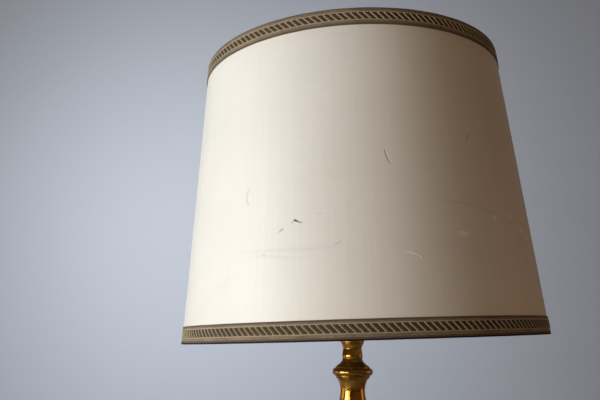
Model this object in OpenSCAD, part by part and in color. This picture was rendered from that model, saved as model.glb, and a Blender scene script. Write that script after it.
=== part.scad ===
// Table lamp: a turned brass stand, a lampholder inside a harp, and a tapered satin shade
// with woven braid, hung by its top spider under the finial.
// Origin: middle of the base on the table. +Z up, -Y is the front, the cord inlet is at +Y.
// All sizes are in millimetres.

/* [Stand] */
// Height of the brass stand, from the table to the top of the neck
stand_h = 370; // [330:1:420]
// Diameter of the base at its edge
base_d = 156; // [146:1:180]
// Height of the domed base, felt included
base_h = 42; // [38:1:50]
// Height of the bell-shaped foot on the base
foot_h = 92; // [80:1:110]
// Diameter of the foot where it stands on the base
foot_d = 80; // [70:1:84]
// Height of the knop between foot and vase
knop_h = 20; // [16:1:26]
// Diameter of the knop
knop_d = 43; // [38:1:50]
// Widest diameter of the pear-shaped vase
vase_d = 74; // [60:1:84]
// Height of the turned neck above the vase
neck_h = 32; // [30:1:36]
// Diameter of the collar on the neck
collar_d = 40; // [38:0.5:46]
// Diameter of the small bead above the collar
bead_d = 20.2; // [19:0.1:22]
// Wall of the spun and cast brass
brass_wall = 2.4; // [1.6:0.1:3]

/* [Inside the stand] */
// Outside diameter of the threaded pipe
pipe_d = 10; // [9:0.1:11]
// Bore of the threaded pipe
pipe_bore = 7.2; // [6.8:0.1:7.4]
// Diameter of the iron weight
weight_d = 134; // [120:1:136]
// Thickness of the iron weight
weight_t = 12; // [8:0.5:12.5]
// Thickness of the felt pad
felt_t = 2; // [1:0.1:3]
// Height of the cord inlet above the table
inlet_z = 14; // [12.5:0.5:14]
// Bore of the cord inlet bushing
inlet_bore = 7.2; // [6:0.1:8]
// Diameter of each insulated lead inside the pipe
lead_d = 2.2; // [1.8:0.1:2.4]

/* [Shade] */
// Height of the shade
shade_h = 277; // [240:1:300]
// Diameter of the shade's fabric at the top
shade_top_d = 298; // [260:1:320]
// Diameter of the shade's fabric at the bottom
shade_bottom_d = 350; // [310:1:400]
// Width of the woven braid at both rims
braid_w = 16; // [10:0.5:22]
// How far the braid stands off the fabric
braid_t = 1.3; // [0.8:0.1:2]
// Thickness of the satin cover
cover_t = 0.4; // [0.3:0.05:0.8]
// Thickness of the stiff liner under the satin
liner_t = 0.6; // [0.4:0.05:1]
// Diameter of the ring wire
ring_wire = 3; // [2.4:0.1:4]
// Diameter of the spider's arm wire
arm_wire = 2.6; // [2:0.1:3]
// How far the spider's washer lies below the shade's top
spider_drop = 15; // [12:0.5:30]
// Lean of the shade on its spider washer, to the left as seen from the front
shade_lean = 2.1; // [0:0.1:2.2]
// Height of the shade's bottom above the neck
shade_lift = 4; // [3:0.5:30]

/* [Lampholder, harp and bulb] */
// Outside diameter of the lampholder's brass shell
shell_d = 32.6; // [32:0.1:34]
// Height of the lampholder's brass shell
shell_h = 42; // [40:0.5:46]
// Distance between the middles of the harp's two legs
harp_leg_gap = 52; // [50:0.5:60]
// Diameter of the harp's wire
harp_wire = 3.2; // [2.8:0.1:3.6]
// How far a ferrule slides up its leg
ferrule_travel = 12; // [6:0.5:14]
// Diameter of the bulb's glass
bulb_d = 60; // [45:1:66]
// Diameter of the switch knob
knob_d = 13; // [10:0.5:15]
// Height of the finial
finial_h = 31; // [24:1:40]

/* [Hidden] */

$fn = 96;
fine = 16;         // sides of the small wires' own circles
slip = 0.1;        // gap around a piece that is fixed in another
running = 0.05;    // radial gap of a turning shaft
seat_gap = 0.35;   // slack of the spider's washer above and below

// Heights of the stand's pieces, from the table up
foot_z = base_h;
knop_z = foot_z + foot_h;
vase_z = knop_z + knop_h;
neck_z = stand_h - neck_h;
check_ring_h = 3;
check_ring_z = stand_h;
saddle_t = 2;
saddle_z = check_ring_z + check_ring_h;
cap_z = saddle_z + saddle_t;

// Base
base_edge_h = 4;      // upright edge above the felt
plinth_in = 3;        // how far the plinth stands in from the edge
plinth_top = 20;
cover_disc_t = 1.4;
weight_z = 9;
disc_t = 3;           // flat top of the base, under the foot
boss_r = pipe_d / 2 + 10;
nut_h = 5;
nut_across = 17;      // over its flats
washer_t = 1.5;
washer_r = pipe_d / 2 + 7;
recess_r = washer_r + 1.5;    // recess for nut and washer in the weight
recess_top = 14.3;
pipe_bottom = 7.2;
pipe_top = cap_z + 5;
inlet_flange_t = 2;
inlet_flange_r = 6.4;
inlet_neck_r = 4.8;
inlet_lip_t = 1.5;
block_size = [18, 16, 8.5];
block_y = 28;
slot_w = 15;

// Vase: the stretch under the neck has a fixed shape, and the rest follows the height
vase_h = neck_z - vase_z;
throat_r = 11.95;     // narrowest place, 14 below the neck

// Lampholder
shell_r = shell_d / 2;
shell_t = 0.6;
sleeve_t = 0.6;
cap_t = 0.8;
hub_r = pipe_d / 2 + 3.5;
hub_h = 6;
cap_h = 23;
shell_z = cap_z + 17;
sleeve_r = shell_r - shell_t - 0.2;      // outside of the fibre sleeve
holder_body_r = sleeve_r - sleeve_t - 0.2;
holder_body_z = shell_z + 7;
holder_body_h = 12;
flat_x = holder_body_r - 3.2;    // flats on the holder's body, for the terminal screws
key_z = holder_body_z + 6;
contact_z = holder_body_z + holder_body_h;
bulb_base_r = 13.05;
screw_shell_r = bulb_base_r + 0.3;       // inside radius of the thread shell
screw_shell_t = 0.4;
screw_shell_h = shell_h - 20;
shaft_r = 1.5;
knob_gap = 4;
knob_l = 12;

// Bulb, measured from the tip of its contact
bulb_z = contact_z + 1.8;
bulb_l = 107;
bulb_base_z = bulb_z + 5.5;
bulb_base_h = 20;
glass_z = bulb_base_z + 14;
glass_t = 0.6;

// Shade: heights from the shade's own bottom edge
shade_z = stand_h + shade_lift;
seat_h = shade_h - spider_drop;          // middle of the spider's washer
seat_z = shade_z + seat_h;
washer_hole_r = 5.5;
spider_washer_r = 14;
spider_washer_t = 1.2;
tape_t = 0.4;
tape_w = 12;
tape_wrap = 145;      // degrees that the tape turns round the ring
tape_r = ring_wire / 2 + 0.05;           // inside radius of the tape around the ring
ring_h = tape_r + tape_t + 0.2;          // ring's middle above or below the edge
skin = cover_t + 0.05 + liner_t;         // fabric and liner together

// Harp: from the saddle's tabs to the bush under the spider
stud_plate_r = 8;
stud_plate_t = 1.6;
stud_r = 3.1;
stud_shank_r = 2.1;
bush_r = 4.2;
bush_h = 7;
plate_z = seat_z - spider_washer_t / 2 - seat_gap - stud_plate_t;
bush_z = plate_z - 0.1 - bush_h;
bow_z = bush_z + bush_h / 2;
leg_x = harp_leg_gap / 2;
tab_t = 1.5;
tab_z = cap_z + 9;                       // shoulders that the ferrules rest on
tab_h = 10;
ferrule_r = 4.3;
ferrule_bore = 3.15;
ferrule_h = 14;
ferrule_z = tab_z + 0.2;
leg_straight = ferrule_z + ferrule_h + ferrule_travel - tab_z - tab_h + 2;
finial_z = seat_z + spider_washer_t / 2 + seat_gap + 0.05;

// ---- outlines ------------------------------------------------------------------------

// Catmull-Rom point between p1 and p2
function between(p0, p1, p2, p3, t) =
    0.5 * (2 * p1 + (p2 - p0) * t + (2 * p0 - 5 * p1 + 4 * p2 - p3) * t * t
           + (3 * p1 - p0 - 3 * p2 + p3) * t * t * t);

// Smooth curve through the points p, with n steps in each span
function smooth(p, n = 5) = [
    for (i = [0 : len(p) - 2])
        for (k = [0 : n - 1])
            between(p[max(i - 1, 0)], p[i], p[i + 1], p[min(i + 2, len(p) - 1)], k / n),
    p[len(p) - 1],
];

// Half-round from [r, z0] to [r, z1] that stands out by d, or in by -d
function bead(r, z0, z1, d, n = 12) = [
    for (k = [0 : n]) let (a = 180 * k / n)
        [r + d * sin(a), (z0 + z1) / 2 - (z1 - z0) / 2 * cos(a)],
];

// Outline moved inwards by w, for the inside of a wall; the outline runs upwards
function inset(p, w) = [
    for (i = [0 : len(p) - 1])
        let (a = p[max(i - 1, 0)], b = p[min(i + 1, len(p) - 1)], t = (b - a) / norm(b - a))
            [p[i].x - w * t.y, p[i].y + w * t.x],
];

function raised(p, z) = [for (q = p) [q.x, q.y + z]];
function reversed(p) = [for (i = [len(p) - 1 : -1 : 0]) p[i]];
function ring_radius(h) = shade_r(h) - skin - tape_r - tape_t - 0.05;
function shade_r(h) = (shade_bottom_d + (shade_top_d - shade_bottom_d) * h / shade_h) / 2;

// Outline of the base from its plinth to the flat top, heights from the table
function base_shoulder() = let (
    r = base_d / 2 - plinth_in, low = plinth_top + 2.6, rise = base_h - 2.6 - low
) smooth([
    [r - 2.4, low], [r - 9, low + 0.155 * rise], [(r + foot_d / 2) / 2 + 1, low + 0.44 * rise],
    [foot_d / 2 + 6, low + 0.77 * rise], [foot_d / 2 + 4, low + rise],
]);

function base_outline() = let (r = base_d / 2, edge = felt_t + base_edge_h) concat(
    [[r, felt_t], [r, edge - 0.8]],
    smooth([[r, edge - 0.6], [r - 0.5, edge + 0.7], [r - 1.6, edge + 1.4]], 4),
    [[r - plinth_in, edge + 1.6], [r - plinth_in, plinth_top]],
    bead(r - plinth_in - 0.6, plinth_top + 0.3, plinth_top + 2.3, 0.9, 8),
    base_shoulder(),
    [[foot_d / 2 + 2.4, base_h - 2.4], [foot_d / 2 + 2.4, base_h]]
);

// The foot's sweep, from its lip up to the fillets, heights from the foot's own bottom
function foot_sweep() = let (r = foot_d / 2, waist = 12.5, spread = r - waist, h = foot_h) smooth([
    [r - 1.6, 4.4], [waist + 0.71 * spread, 9], [waist + 0.436 * spread, 0.217 * h],
    [waist + 0.215 * spread, 0.39 * h], [waist + 0.07 * spread, 0.63 * h],
    [waist, h - 16], [waist + 0.4, h - 7],
]);

function foot_outline() = concat(
    bead(foot_d / 2 - 0.6, 0, 3.6, 1.6),
    foot_sweep(),
    bead(13.4, foot_h - 6.6, foot_h - 2.6, 2.2, 8),
    [[13.2, foot_h - 2.4], [13.2, foot_h]]
);

function knop_outline() = concat(
    [[13.2, 0], [13.2, 1.2]],
    bead(13.6, 1.3, 4.1, 1.7, 8),
    bead(14.2, 4.3, knop_h - 4.3, knop_d / 2 - 14.2, 16),
    bead(13.6, knop_h - 4.1, knop_h - 1.3, 1.7, 8),
    [[13.2, knop_h - 1.2], [13.2, knop_h]]
);

// The vase's pear, from above the lower fillet to the throat
function pear() = let (r = vase_d / 2, h = vase_h, low = 6.2, rise = h - 33 - low) smooth([
    [14.6, low], [19.5, low + 0.035 * rise], [0.78 * r, low + 0.123 * rise],
    [0.957 * r, low + 0.247 * rise], [r, low + 0.372 * rise], [0.935 * r, low + 0.523 * rise],
    [0.757 * r, low + 0.703 * rise], [0.55 * r, low + 0.869 * rise], [15.9, h - 33],
    [13.1, h - 21], [throat_r, h - 14],
], 6);

function vase_outline() = concat(
    [[13.2, 0], [13.2, 0.8]],
    bead(13.6, 1, 5.6, 2.4, 10),
    pear(),
    smooth([
        [throat_r, vase_h - 14], [12.25, vase_h - 9.5], [13.6, vase_h - 4.6],
        [15.1, vase_h - 2.2], [16.5, vase_h - 0.9],
    ], 4),
    [[16.7, vase_h]]
);

// Heights here count down from the neck's top
function neck_outline() = let (h = neck_h, r = collar_d / 2, b = bead_d / 2) concat(
    [[r - 3.1, 0], [r - 2.4, 0.9]],
    bead(r - 3.1, 1.4, 8.2, 3.1, 14),
    [[r - 3.4, 8.6], [r - 3.3, 9.4]],
    smooth([[r - 3.6, 9.5], [15.2, 10.6], [12.6, 12.6], [10.6, 14.9], [9.55, 17.2]], 4),
    smooth([[9.6, h - 14.6], [b, h - 11.8], [9.5, h - 7.6], [9.05, h - 5.3], [9.5, h - 3.4],
            [10.3, h - 1.4]], 4),
    [[10.9, h - 0.8], [10.9, h]]
);

function check_ring_outline() = bead(10.6, 0, check_ring_h, 1.1, 10);

function cap_dome() = smooth([
    [hub_r + 0.2, hub_h], [hub_r + 4.2, hub_h + 2], [shell_r - 0.4, hub_h + 6.5],
    [shell_r + 0.15 + cap_t, cap_h - 8],
], 5);

function glass_outline() = let (r = bulb_d / 2, top = bulb_z + bulb_l) concat(
    [[12.2, glass_z]],
    smooth([[12.2, glass_z + 8], [14, glass_z + 17], [r - 6.5, top - r - 18],
            [r - 1.4, top - r - 8]], 5),
    [for (k = [0 : 9]) [r * cos(k * 10), top - r + r * sin(k * 10)]]
);

function finial_outline() = let (h = finial_h) concat(
    [[8, 0], [8, 0.8]],
    bead(7.6, 0.9, 2.7, 0.8, 8),
    smooth([[6.4, 3], [4.8, 4.6], [4.6, 6.2]], 4),
    bead(4.9, 6.4, 8.2, 1.2, 8),
    smooth([[4.9, 8.4], [8.1, 11.2], [9.1, 15], [7.4, h - 11], [4.4, h - 8.2]], 5),
    bead(3.6, h - 8, h - 6.4, 1.2, 8),
    [for (k = [0 : 10]) let (a = -60 + 150 * k / 10) [3.3 * cos(a), h - 3.3 + 3.3 * sin(a)]]
);

// ---- shared shapes -------------------------------------------------------------------

// Solid of revolution from an outline that runs upwards, with a round bore
module turned(outline, bore_r = 0) {
    rotate_extrude()
        polygon(concat([[bore_r, outline[0].y]], outline, [[bore_r, outline[len(outline) - 1].y]]));
}

// Ring of rectangular section
module ring(r_in, r_out, z, h) {
    rotate_extrude() translate([r_in, z]) square([r_out - r_in, h]);
}

// Band between two radii that follows the shade's slope, from height h0 to h1
module shade_band(in0, out0, h0, h1) {
    rotate_extrude() polygon([
        [shade_r(h0) + in0, h0], [shade_r(h0) + out0, h0],
        [shade_r(h1) + out0, h1], [shade_r(h1) + in0, h1],
    ]);
}

// Round wire in the XZ plane: moves are [length, turn, radius]; a straight move has turn 0.
// A ball a hair thicker than the wire stands at each place where two moves meet.
module wire(d, at, heading, moves, i = 0) {
    if (i > 0 && i < len(moves))
        translate([at.x, 0, at.y]) sphere(d = d + 0.04, $fn = fine);
    if (i < len(moves)) {
        run = moves[i][0];
        turn = moves[i][1];
        bend = moves[i][2];
        translate([at.x, 0, at.y]) rotate([0, -heading, 0])
            if (turn == 0)
                rotate([0, 90, 0]) cylinder(d = d, h = run, $fn = fine);
            else
                translate([0, 0, sign(turn) * bend]) rotate([90, 0, 0])
                    rotate([0, 0, turn > 0 ? -90 : 90 + turn])
                        rotate_extrude(angle = abs(turn))
                            translate([bend, 0]) circle(d = d, $fn = fine);
        side = sign(turn) * bend;
        next = turn == 0
            ? at + run * [cos(heading), sin(heading)]
            : at + side * [sin(heading + turn) - sin(heading), cos(heading) - cos(heading + turn)];
        wire(d, next, heading + turn, moves, i + 1);
    }
}

// Round tube swept along the points of a path
module swept(path, d, sides = 8) {
    n = len(path);
    rings = [
        for (i = [0 : n - 1])
            let (t = path[min(i + 1, n - 1)] - path[max(i - 1, 0)], w = t / norm(t),
                 u = cross(abs(w.x) > 0.8 ? [0, 0, 1] : [1, 0, 0], w), a = u / norm(u),
                 b = cross(w, a))
                [for (k = [0 : sides - 1])
                    path[i] + d / 2 * (cos(360 * k / sides) * a + sin(360 * k / sides) * b)],
    ];
    walls = [
        for (i = [0 : n - 2]) for (k = [0 : sides - 1]) let (m = (k + 1) % sides)
            [i * sides + k, (i + 1) * sides + k, (i + 1) * sides + m, i * sides + m],
    ];
    ends = [[for (k = [0 : sides - 1]) k], [for (k = [sides - 1 : -1 : 0]) (n - 1) * sides + k]];
    polyhedron(points = [for (r = rings) each r], faces = concat(walls, ends));
}

// Ring of round wire inside the shade's liner at a height from the shade's bottom
module ring_of_wire(h) {
    translate([0, 0, h]) rotate_extrude()
        translate([ring_radius(h), 0]) circle(d = ring_wire, $fn = fine);
}

// Puts a shape that is drawn from the shade's bottom in its leaning place
module in_shade() {
    translate([0, 0, seat_z]) rotate([0, -shade_lean, 0]) translate([0, 0, -seat_h]) children();
}

// ---- base ----------------------------------------------------------------------------

module felt_pad() {
    color("#2f3a2c") cylinder(d = base_d - 3, h = felt_t);
}

module base_cover() {
    color("#5a5148") translate([0, 0, felt_t])
        cylinder(r = base_d / 2 - brass_wall - 0.3, h = cover_disc_t);
}

module base_plate() {
    shoulder = inset(base_shoulder(), brass_wall);
    r = base_d / 2 - brass_wall;
    hollow = concat(
        [[r, felt_t - 1], [r, felt_t + base_edge_h - 0.4], [r - plinth_in, felt_t + base_edge_h + 1.6],
         [r - plinth_in, plinth_top - 0.5]],
        [for (q = shoulder) if (q.y < base_h - disc_t - 0.4 && q.y > plinth_top) q],
        [[foot_d / 2 + 1, base_h - disc_t]]
    );
    color("#b58a35") difference() {
        turned(base_outline());
        turned(hollow);
        cylinder(r = pipe_d / 2 + slip, h = base_h + 1);
        translate([0, base_d / 2 - plinth_in - brass_wall - 4, inlet_z]) rotate([-90, 0, 0])
            cylinder(r = inlet_neck_r + slip, h = brass_wall + 12);
        translate([-inlet_flange_r - 1, base_d / 2 - plinth_in - 0.35, inlet_z - inlet_flange_r])
            cube([2 * inlet_flange_r + 2, 5, 2 * inlet_flange_r]);
    }
}

module base_weight() {
    top = base_h - disc_t;
    color("#3b3b3d") difference() {
        union() {
            translate([0, 0, weight_z]) cylinder(d = weight_d, h = weight_t);
            cylinder(r = boss_r, h = top);
        }
        translate([0, 0, -1]) cylinder(r = boss_r + 1, h = weight_z + 1);
        translate([0, 0, -1]) cylinder(r = pipe_d / 2 + slip, h = top + 2);
        cylinder(r = recess_r, h = recess_top);
        translate([-block_size.x / 2 - 2, block_y - 3, 0])
            cube([block_size.x + 4, block_size.y + 8, weight_z + weight_t + 1]);
        translate([-slot_w / 2, block_y, 0])
            cube([slot_w, weight_d / 2, weight_z + weight_t + 1]);
    }
}

module cord_bushing() {
    face = base_d / 2 - plinth_in - 0.35;
    inner = face - brass_wall + 0.35;
    color("#1c1a18") translate([0, 0, inlet_z]) rotate([-90, 0, 0]) difference() {
        union() {
            translate([0, 0, face + 0.05]) cylinder(r = inlet_flange_r - 0.1, h = inlet_flange_t);
            translate([0, 0, inner - 2]) cylinder(r = inlet_neck_r, h = face - inner + 3);
            translate([0, 0, inner - 0.6 - inlet_lip_t])
                cylinder(r = inlet_neck_r + 0.6, h = inlet_lip_t);
        }
        translate([0, 0, inner - 5]) cylinder(d = inlet_bore, h = 20);
    }
}

module terminal_block() {
    color("#e6e2d6") difference() {
        translate([-block_size.x / 2, block_y, felt_t + cover_disc_t + 0.1]) cube(block_size);
        for (x = [-4.4, 4.4]) {
            translate([x, block_y - 1, 8]) rotate([-90, 0, 0]) cylinder(r = 1.5, h = 20);
            translate([x, block_y + 8, 8]) cylinder(r = 2.2, h = 8);
        }
    }
}

module terminal_block_screws() {
    color("#b9b3a4") for (x = [-4.4, 4.4]) translate([x, block_y + 8, 9.6]) difference() {
        cylinder(r = 2.1, h = 2);
        translate([-2.5, -0.3, 1.2]) cube([5, 0.6, 2]);
    }
}

module pipe_nut() {
    color("#a9a18c") translate([0, 0, recess_top - washer_t - nut_h]) difference() {
        cylinder(d = nut_across / cos(30), h = nut_h, $fn = 6);
        translate([0, 0, -1]) cylinder(r = pipe_d / 2 + 0.02, h = nut_h + 2);
    }
}

module pipe_washer() {
    color("#b9b3a4") ring(pipe_d / 2 + slip, washer_r, recess_top - washer_t, washer_t);
}

// ---- stem ----------------------------------------------------------------------------

module stem_pipe() {
    color("#a9a18c") ring(pipe_bore / 2, pipe_d / 2, pipe_bottom, pipe_top - pipe_bottom);
}

module stem_foot() {
    sweep = foot_sweep();
    hollow = concat(
        [[foot_d / 2 - brass_wall - 1.6, -1]],
        [for (q = inset(sweep, brass_wall)) if (q.y > 0 && q.y < foot_h - 12) q]
    );
    color("#b58a35") translate([0, 0, foot_z]) difference() {
        turned(foot_outline());
        turned(hollow);
        cylinder(r = pipe_d / 2 + slip, h = foot_h + 1);
    }
}

module stem_knop() {
    color("#b58a35") translate([0, 0, knop_z]) turned(knop_outline(), pipe_d / 2 + slip);
}

module stem_vase() {
    hollow = [for (q = inset(pear(), brass_wall)) if (q.y > 9 && q.y < vase_h - 14) q];
    color("#b58a35") translate([0, 0, vase_z]) difference() {
        turned(vase_outline(), pipe_d / 2 + slip);
        turned(hollow);
    }
}

module stem_neck() {
    color("#b58a35") translate([0, 0, neck_z]) turned(neck_outline(), pipe_d / 2 + slip);
}

module check_ring() {
    color("#b58a35") translate([0, 0, check_ring_z])
        turned(check_ring_outline(), pipe_d / 2 + slip);
}

// Route of one lead, from the terminal block to its screw; side is 1 or -1
function lead_route(side) = let (x = 1.35, out = flat_x + lead_d / 2 + 0.3) concat(
    smooth([
        [4.4 * side, block_y + 6, 8], [4.4 * side, block_y - 2, 8], [3.6 * side, 17, 5.8],
        [2.4 * side, 8, 5.3], [x * side, 2.6, 6.1], [x * side, 0.3, 9], [x * side, 0, 14],
    ], 4),
    smooth([
        [x * side, 0, pipe_top - 4], [x * side, 0, pipe_top + 1],
        [4.4 * side, 0, pipe_top + 6.5], [out * side * 0.8, 0, pipe_top + 12],
        [out * side, 0, key_z - 8.4], [out * side, 0, key_z - 3.1],
    ], 4)
);

module lead_live() {
    color("#6b3f22") swept(lead_route(1), lead_d);
}

module lead_neutral() {
    color("#31527a") swept(lead_route(-1), lead_d);
}

// ---- harp ----------------------------------------------------------------------------

module harp_saddle() {
    inner = leg_x - tab_t - 0.05;
    color("#b58a35") difference() {
        union() {
            translate([-inner - tab_t, -2.5, saddle_z]) cube([2 * (inner + tab_t), 5, saddle_t]);
            translate([0, 0, saddle_z]) cylinder(r = hub_r + 1, h = saddle_t);
            for (side = [-1, 1]) {
                x = side > 0 ? inner : -inner - tab_t;
                translate([x, -2.5, saddle_z]) cube([tab_t, 5, tab_z + tab_h - saddle_z]);
                translate([x, -4.4, saddle_z]) cube([tab_t, 8.8, tab_z - saddle_z]);
            }
        }
        translate([0, 0, saddle_z - 1]) cylinder(r = pipe_d / 2 + slip, h = saddle_t + 2);
    }
}

module harp_bow() {
    foot_x = leg_x + 0.05;
    leg_start = tab_z + tab_h + 0.2;
    lean_out = 28;             // degrees that the legs first bend outwards
    top_arc = 85;              // degrees of the tight arc at the top
    small_bend = 20;
    first_x = leg_x + small_bend * (1 - cos(lean_out));
    first_z = leg_start + leg_straight + small_bend * sin(lean_out);
    h0 = 90 - lean_out;
    h1 = 180 - top_arc;
    // the long side arc and the tight top arc close on the bush: two equations, two radii
    ax = sin(h1) - sin(h0);
    az = cos(h0) - cos(h1);
    bx = -sin(h1);
    bz = cos(h1) + 1;
    gx = bush_r - 0.6 - first_x;
    gz = bow_z - first_z;
    side_bend = (gx * bz - gz * bx) / (ax * bz - az * bx);
    top_bend = (ax * gz - az * gx) / (ax * bz - az * bx);
    color("#c2a468") difference() {
        union() {
            for (side = [0, 1]) mirror([side, 0, 0]) {
                wire(harp_wire, [leg_x, leg_start], 90, [
                    [leg_straight, 0, 0], [0, -lean_out, small_bend],
                    [0, h1 - h0, side_bend], [0, top_arc, top_bend],
                ]);
                translate([foot_x, -2.5, tab_z + 0.4]) cube([tab_t, 5, tab_h + 1.2]);
            }
            translate([0, 0, bush_z]) cylinder(r = bush_r, h = bush_h);
        }
        translate([0, 0, bush_z - 1]) cylinder(r = stud_shank_r + running, h = bush_h + 2);
    }
}

module harp_ferrule(side) {
    color("#b58a35") translate([side * leg_x, 0, ferrule_z]) turned(concat(
        [[ferrule_r, 0]], bead(ferrule_r - 0.5, 0.4, 2, 0.8, 6),
        [[ferrule_r - 0.6, 2.4], [ferrule_r - 0.8, ferrule_h - 2]],
        bead(ferrule_r - 0.9, ferrule_h - 1.8, ferrule_h - 0.4, 0.7, 6),
        [[ferrule_r - 0.8, ferrule_h]]
    ), ferrule_bore);
}

module harp_ferrule_left() {
    harp_ferrule(-1);
}

module harp_ferrule_right() {
    harp_ferrule(1);
}

module harp_stud() {
    color("#c2a468") union() {
        translate([0, 0, bush_z - 0.1 - 1.8]) cylinder(r = 3.6, h = 1.8);
        translate([0, 0, bush_z - 0.2]) cylinder(r = stud_shank_r, h = bush_h + 0.4);
        translate([0, 0, plate_z]) cylinder(r = stud_plate_r, h = stud_plate_t);
        translate([0, 0, plate_z]) cylinder(r = stud_r, h = seat_z - plate_z + 13);
    }
}

module finial() {
    color("#b58a35") translate([0, 0, finial_z]) difference() {
        turned(finial_outline());
        translate([0, 0, -1]) cylinder(r = stud_r + running, h = 14.6);
    }
}

// ---- lampholder ----------------------------------------------------------------------

module socket_cap() {
    dome = cap_dome();
    rim_r = shell_r + 0.15 + cap_t;
    outside = concat([[hub_r, 0], [hub_r, hub_h]], dome, [[rim_r, cap_h]]);
    inside_dome = [for (q = inset(dome, cap_t)) if (q.y > hub_h) q];
    inside = concat(
        [[hub_r - 0.4, hub_h]], inside_dome,
        [[rim_r - cap_t, cap_h - 8], [rim_r - cap_t, cap_h + 1]]
    );
    color("#b58a35") translate([0, 0, cap_z]) difference() {
        turned(outside, pipe_d / 2 + 0.02);
        turned(inside);
        translate([0, 0, hub_h / 2]) rotate([-90, 0, 0]) cylinder(r = 1.3, h = hub_r + 2, $fn = 32);
    }
}

module socket_set_screw() {
    color("#b9b3a4") translate([0, 0, cap_z + hub_h / 2]) rotate([-90, 0, 0]) difference() {
        translate([0, 0, pipe_d / 2 + 0.1]) cylinder(r = 1.25, h = hub_r - pipe_d / 2 + 1.2, $fn = 32);
        translate([-1.5, -0.25, hub_r + 0.6]) cube([3, 0.5, 2]);
    }
}

// Round side hole for the switch shaft, towards the front
module shaft_hole(r) {
    translate([0, 0, key_z]) rotate([90, 0, 0]) cylinder(r = r, h = shell_r + 3, $fn = 48);
}

module socket_shell() {
    top = shell_h;
    outside = concat([[shell_r, 0], [shell_r, 10]], bead(shell_r, 10.2, 12.2, 0.5, 8),
                     [[shell_r, top - 4]], bead(shell_r - 0.1, top - 3.6, top - 1.4, 0.7, 8),
                     [[shell_r - 0.2, top]]);
    color("#b58a35") difference() {
        translate([0, 0, shell_z]) turned(outside, shell_r - shell_t);
        shaft_hole(2.6);
    }
}

module socket_sleeve() {
    color("#6f4a2c") difference() {
        ring(sleeve_r - sleeve_t, sleeve_r, shell_z + 1, shell_h - 2);
        shaft_hole(2.3);
    }
}

module socket_body() {
    color("#1c1a18") difference() {
        translate([0, 0, holder_body_z]) cylinder(r = holder_body_r, h = holder_body_h);
        for (side = [0, 1]) mirror([side, 0, 0]) {
            translate([flat_x, -20, holder_body_z - 1]) cube([10, 40, 11]);
            translate([0, 0, key_z]) rotate([0, 90, 0]) cylinder(r = shaft_r + slip, h = 20, $fn = 32);
        }
        translate([0, -6, key_z]) rotate([90, 0, 0])
            cylinder(r = shaft_r + running, h = shell_r, $fn = 32);
    }
}

module socket_screw_shell() {
    color("#c2a468") ring(screw_shell_r, screw_shell_r + screw_shell_t, contact_z + 0.1, screw_shell_h);
}

module socket_contact() {
    color("#c2a468") translate([0, 0, contact_z + 0.05]) cylinder(r = 4, h = 1.4);
}

module socket_terminal_screws() {
    color("#b9b3a4") for (side = [0, 1]) mirror([side, 0, 0])
        translate([0, 0, key_z]) rotate([0, 90, 0]) difference() {
            union() {
                translate([0, 0, 6]) cylinder(r = shaft_r, h = flat_x - 5.5, $fn = 32);
                translate([0, 0, flat_x + 0.1]) cylinder(r = 2.8, h = 1.6, $fn = 32);
            }
            translate([-3, -0.3, flat_x + 1]) cube([6, 0.6, 2]);
        }
}

module switch_shaft() {
    color("#b9b3a4") translate([0, -7, key_z]) rotate([90, 0, 0])
        cylinder(r = shaft_r, h = shell_r + knob_gap + knob_l / 2 - 7, $fn = 32);
}

module switch_knob() {
    color("#1c1a18") translate([0, -shell_r - knob_gap, key_z]) rotate([90, 0, 0]) difference() {
        rotate_extrude() polygon([
            [0, 0], [knob_d / 2 - 2, 0], [knob_d / 2 - 1.4, 1.6], [knob_d / 2, 2.4],
            [knob_d / 2, knob_l - 1.2], [knob_d / 2 - 0.8, knob_l - 0.2], [0, knob_l],
        ]);
        translate([0, 0, -1]) cylinder(r = shaft_r + 0.02, h = knob_l / 2 + 1.2, $fn = 32);
        for (a = [0 : 24 : 359]) rotate([0, 0, a]) translate([knob_d / 2 + 0.4, 0, 2.2])
            cylinder(r = 0.9, h = knob_l, $fn = 16);
    }
}

// ---- bulb ----------------------------------------------------------------------------

module bulb_glass() {
    outline = glass_outline();
    top = bulb_z + bulb_l;
    inside = concat(
        [[12.2 - glass_t, glass_z - 1]],
        [for (q = inset(outline, glass_t)) if (q.y > glass_z && q.x > 1 && q.y < top - glass_t - 0.05) q],
        [[0, top - glass_t]]
    );
    color("#f4efe2", 0.5) difference() {
        turned(outline);
        turned(inside);
    }
}

module bulb_base() {
    color("#c9c4b6") difference() {
        turned([[bulb_base_r - 0.8, bulb_base_z], [bulb_base_r, bulb_base_z + 2],
                [bulb_base_r, bulb_base_z + bulb_base_h - 2],
                [bulb_base_r - 0.2, bulb_base_z + bulb_base_h]], bulb_base_r - 4);
        translate([0, 0, bulb_base_z + 1]) cylinder(r = 12.3, h = bulb_base_h);
    }
}

module bulb_insulator() {
    color("#15120f") turned([[4.6, bulb_z + 1.6], [5.2, bulb_z + 2.2], [11.4, bulb_z + 5.4]], 0);
}

module bulb_contact() {
    color("#c9c4b6") turned([[2.4, bulb_z], [4, bulb_z + 0.7], [4.2, bulb_z + 1.55]], 0);
}

module bulb_mount() {
    z = glass_z + 0.6;
    color("#f4efe2", 0.5) turned(concat(
        [[11.3, z]],
        smooth([[11.3, z + 0.8], [6.6, z + 6], [4.4, z + 16], [3.6, z + 24]], 4),
        [[3.8, z + 27], [3, z + 29]]
    ), 0);
}

module bulb_filament() {
    z = glass_z + 29.8;
    color("#8d8a84") union() {
        for (side = [0, 1]) mirror([side, 0, 0])
            wire(0.7, [2, z], 60, [[27, 0, 0]]);
        translate([-15.6, 0, z + 23.3]) rotate([0, 90, 0]) cylinder(r = 0.5, h = 31.2, $fn = fine);
        wire(0.6, [0, z], 90, [[23.3, 0, 0]]);
    }
}

// ---- shade ---------------------------------------------------------------------------

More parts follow.
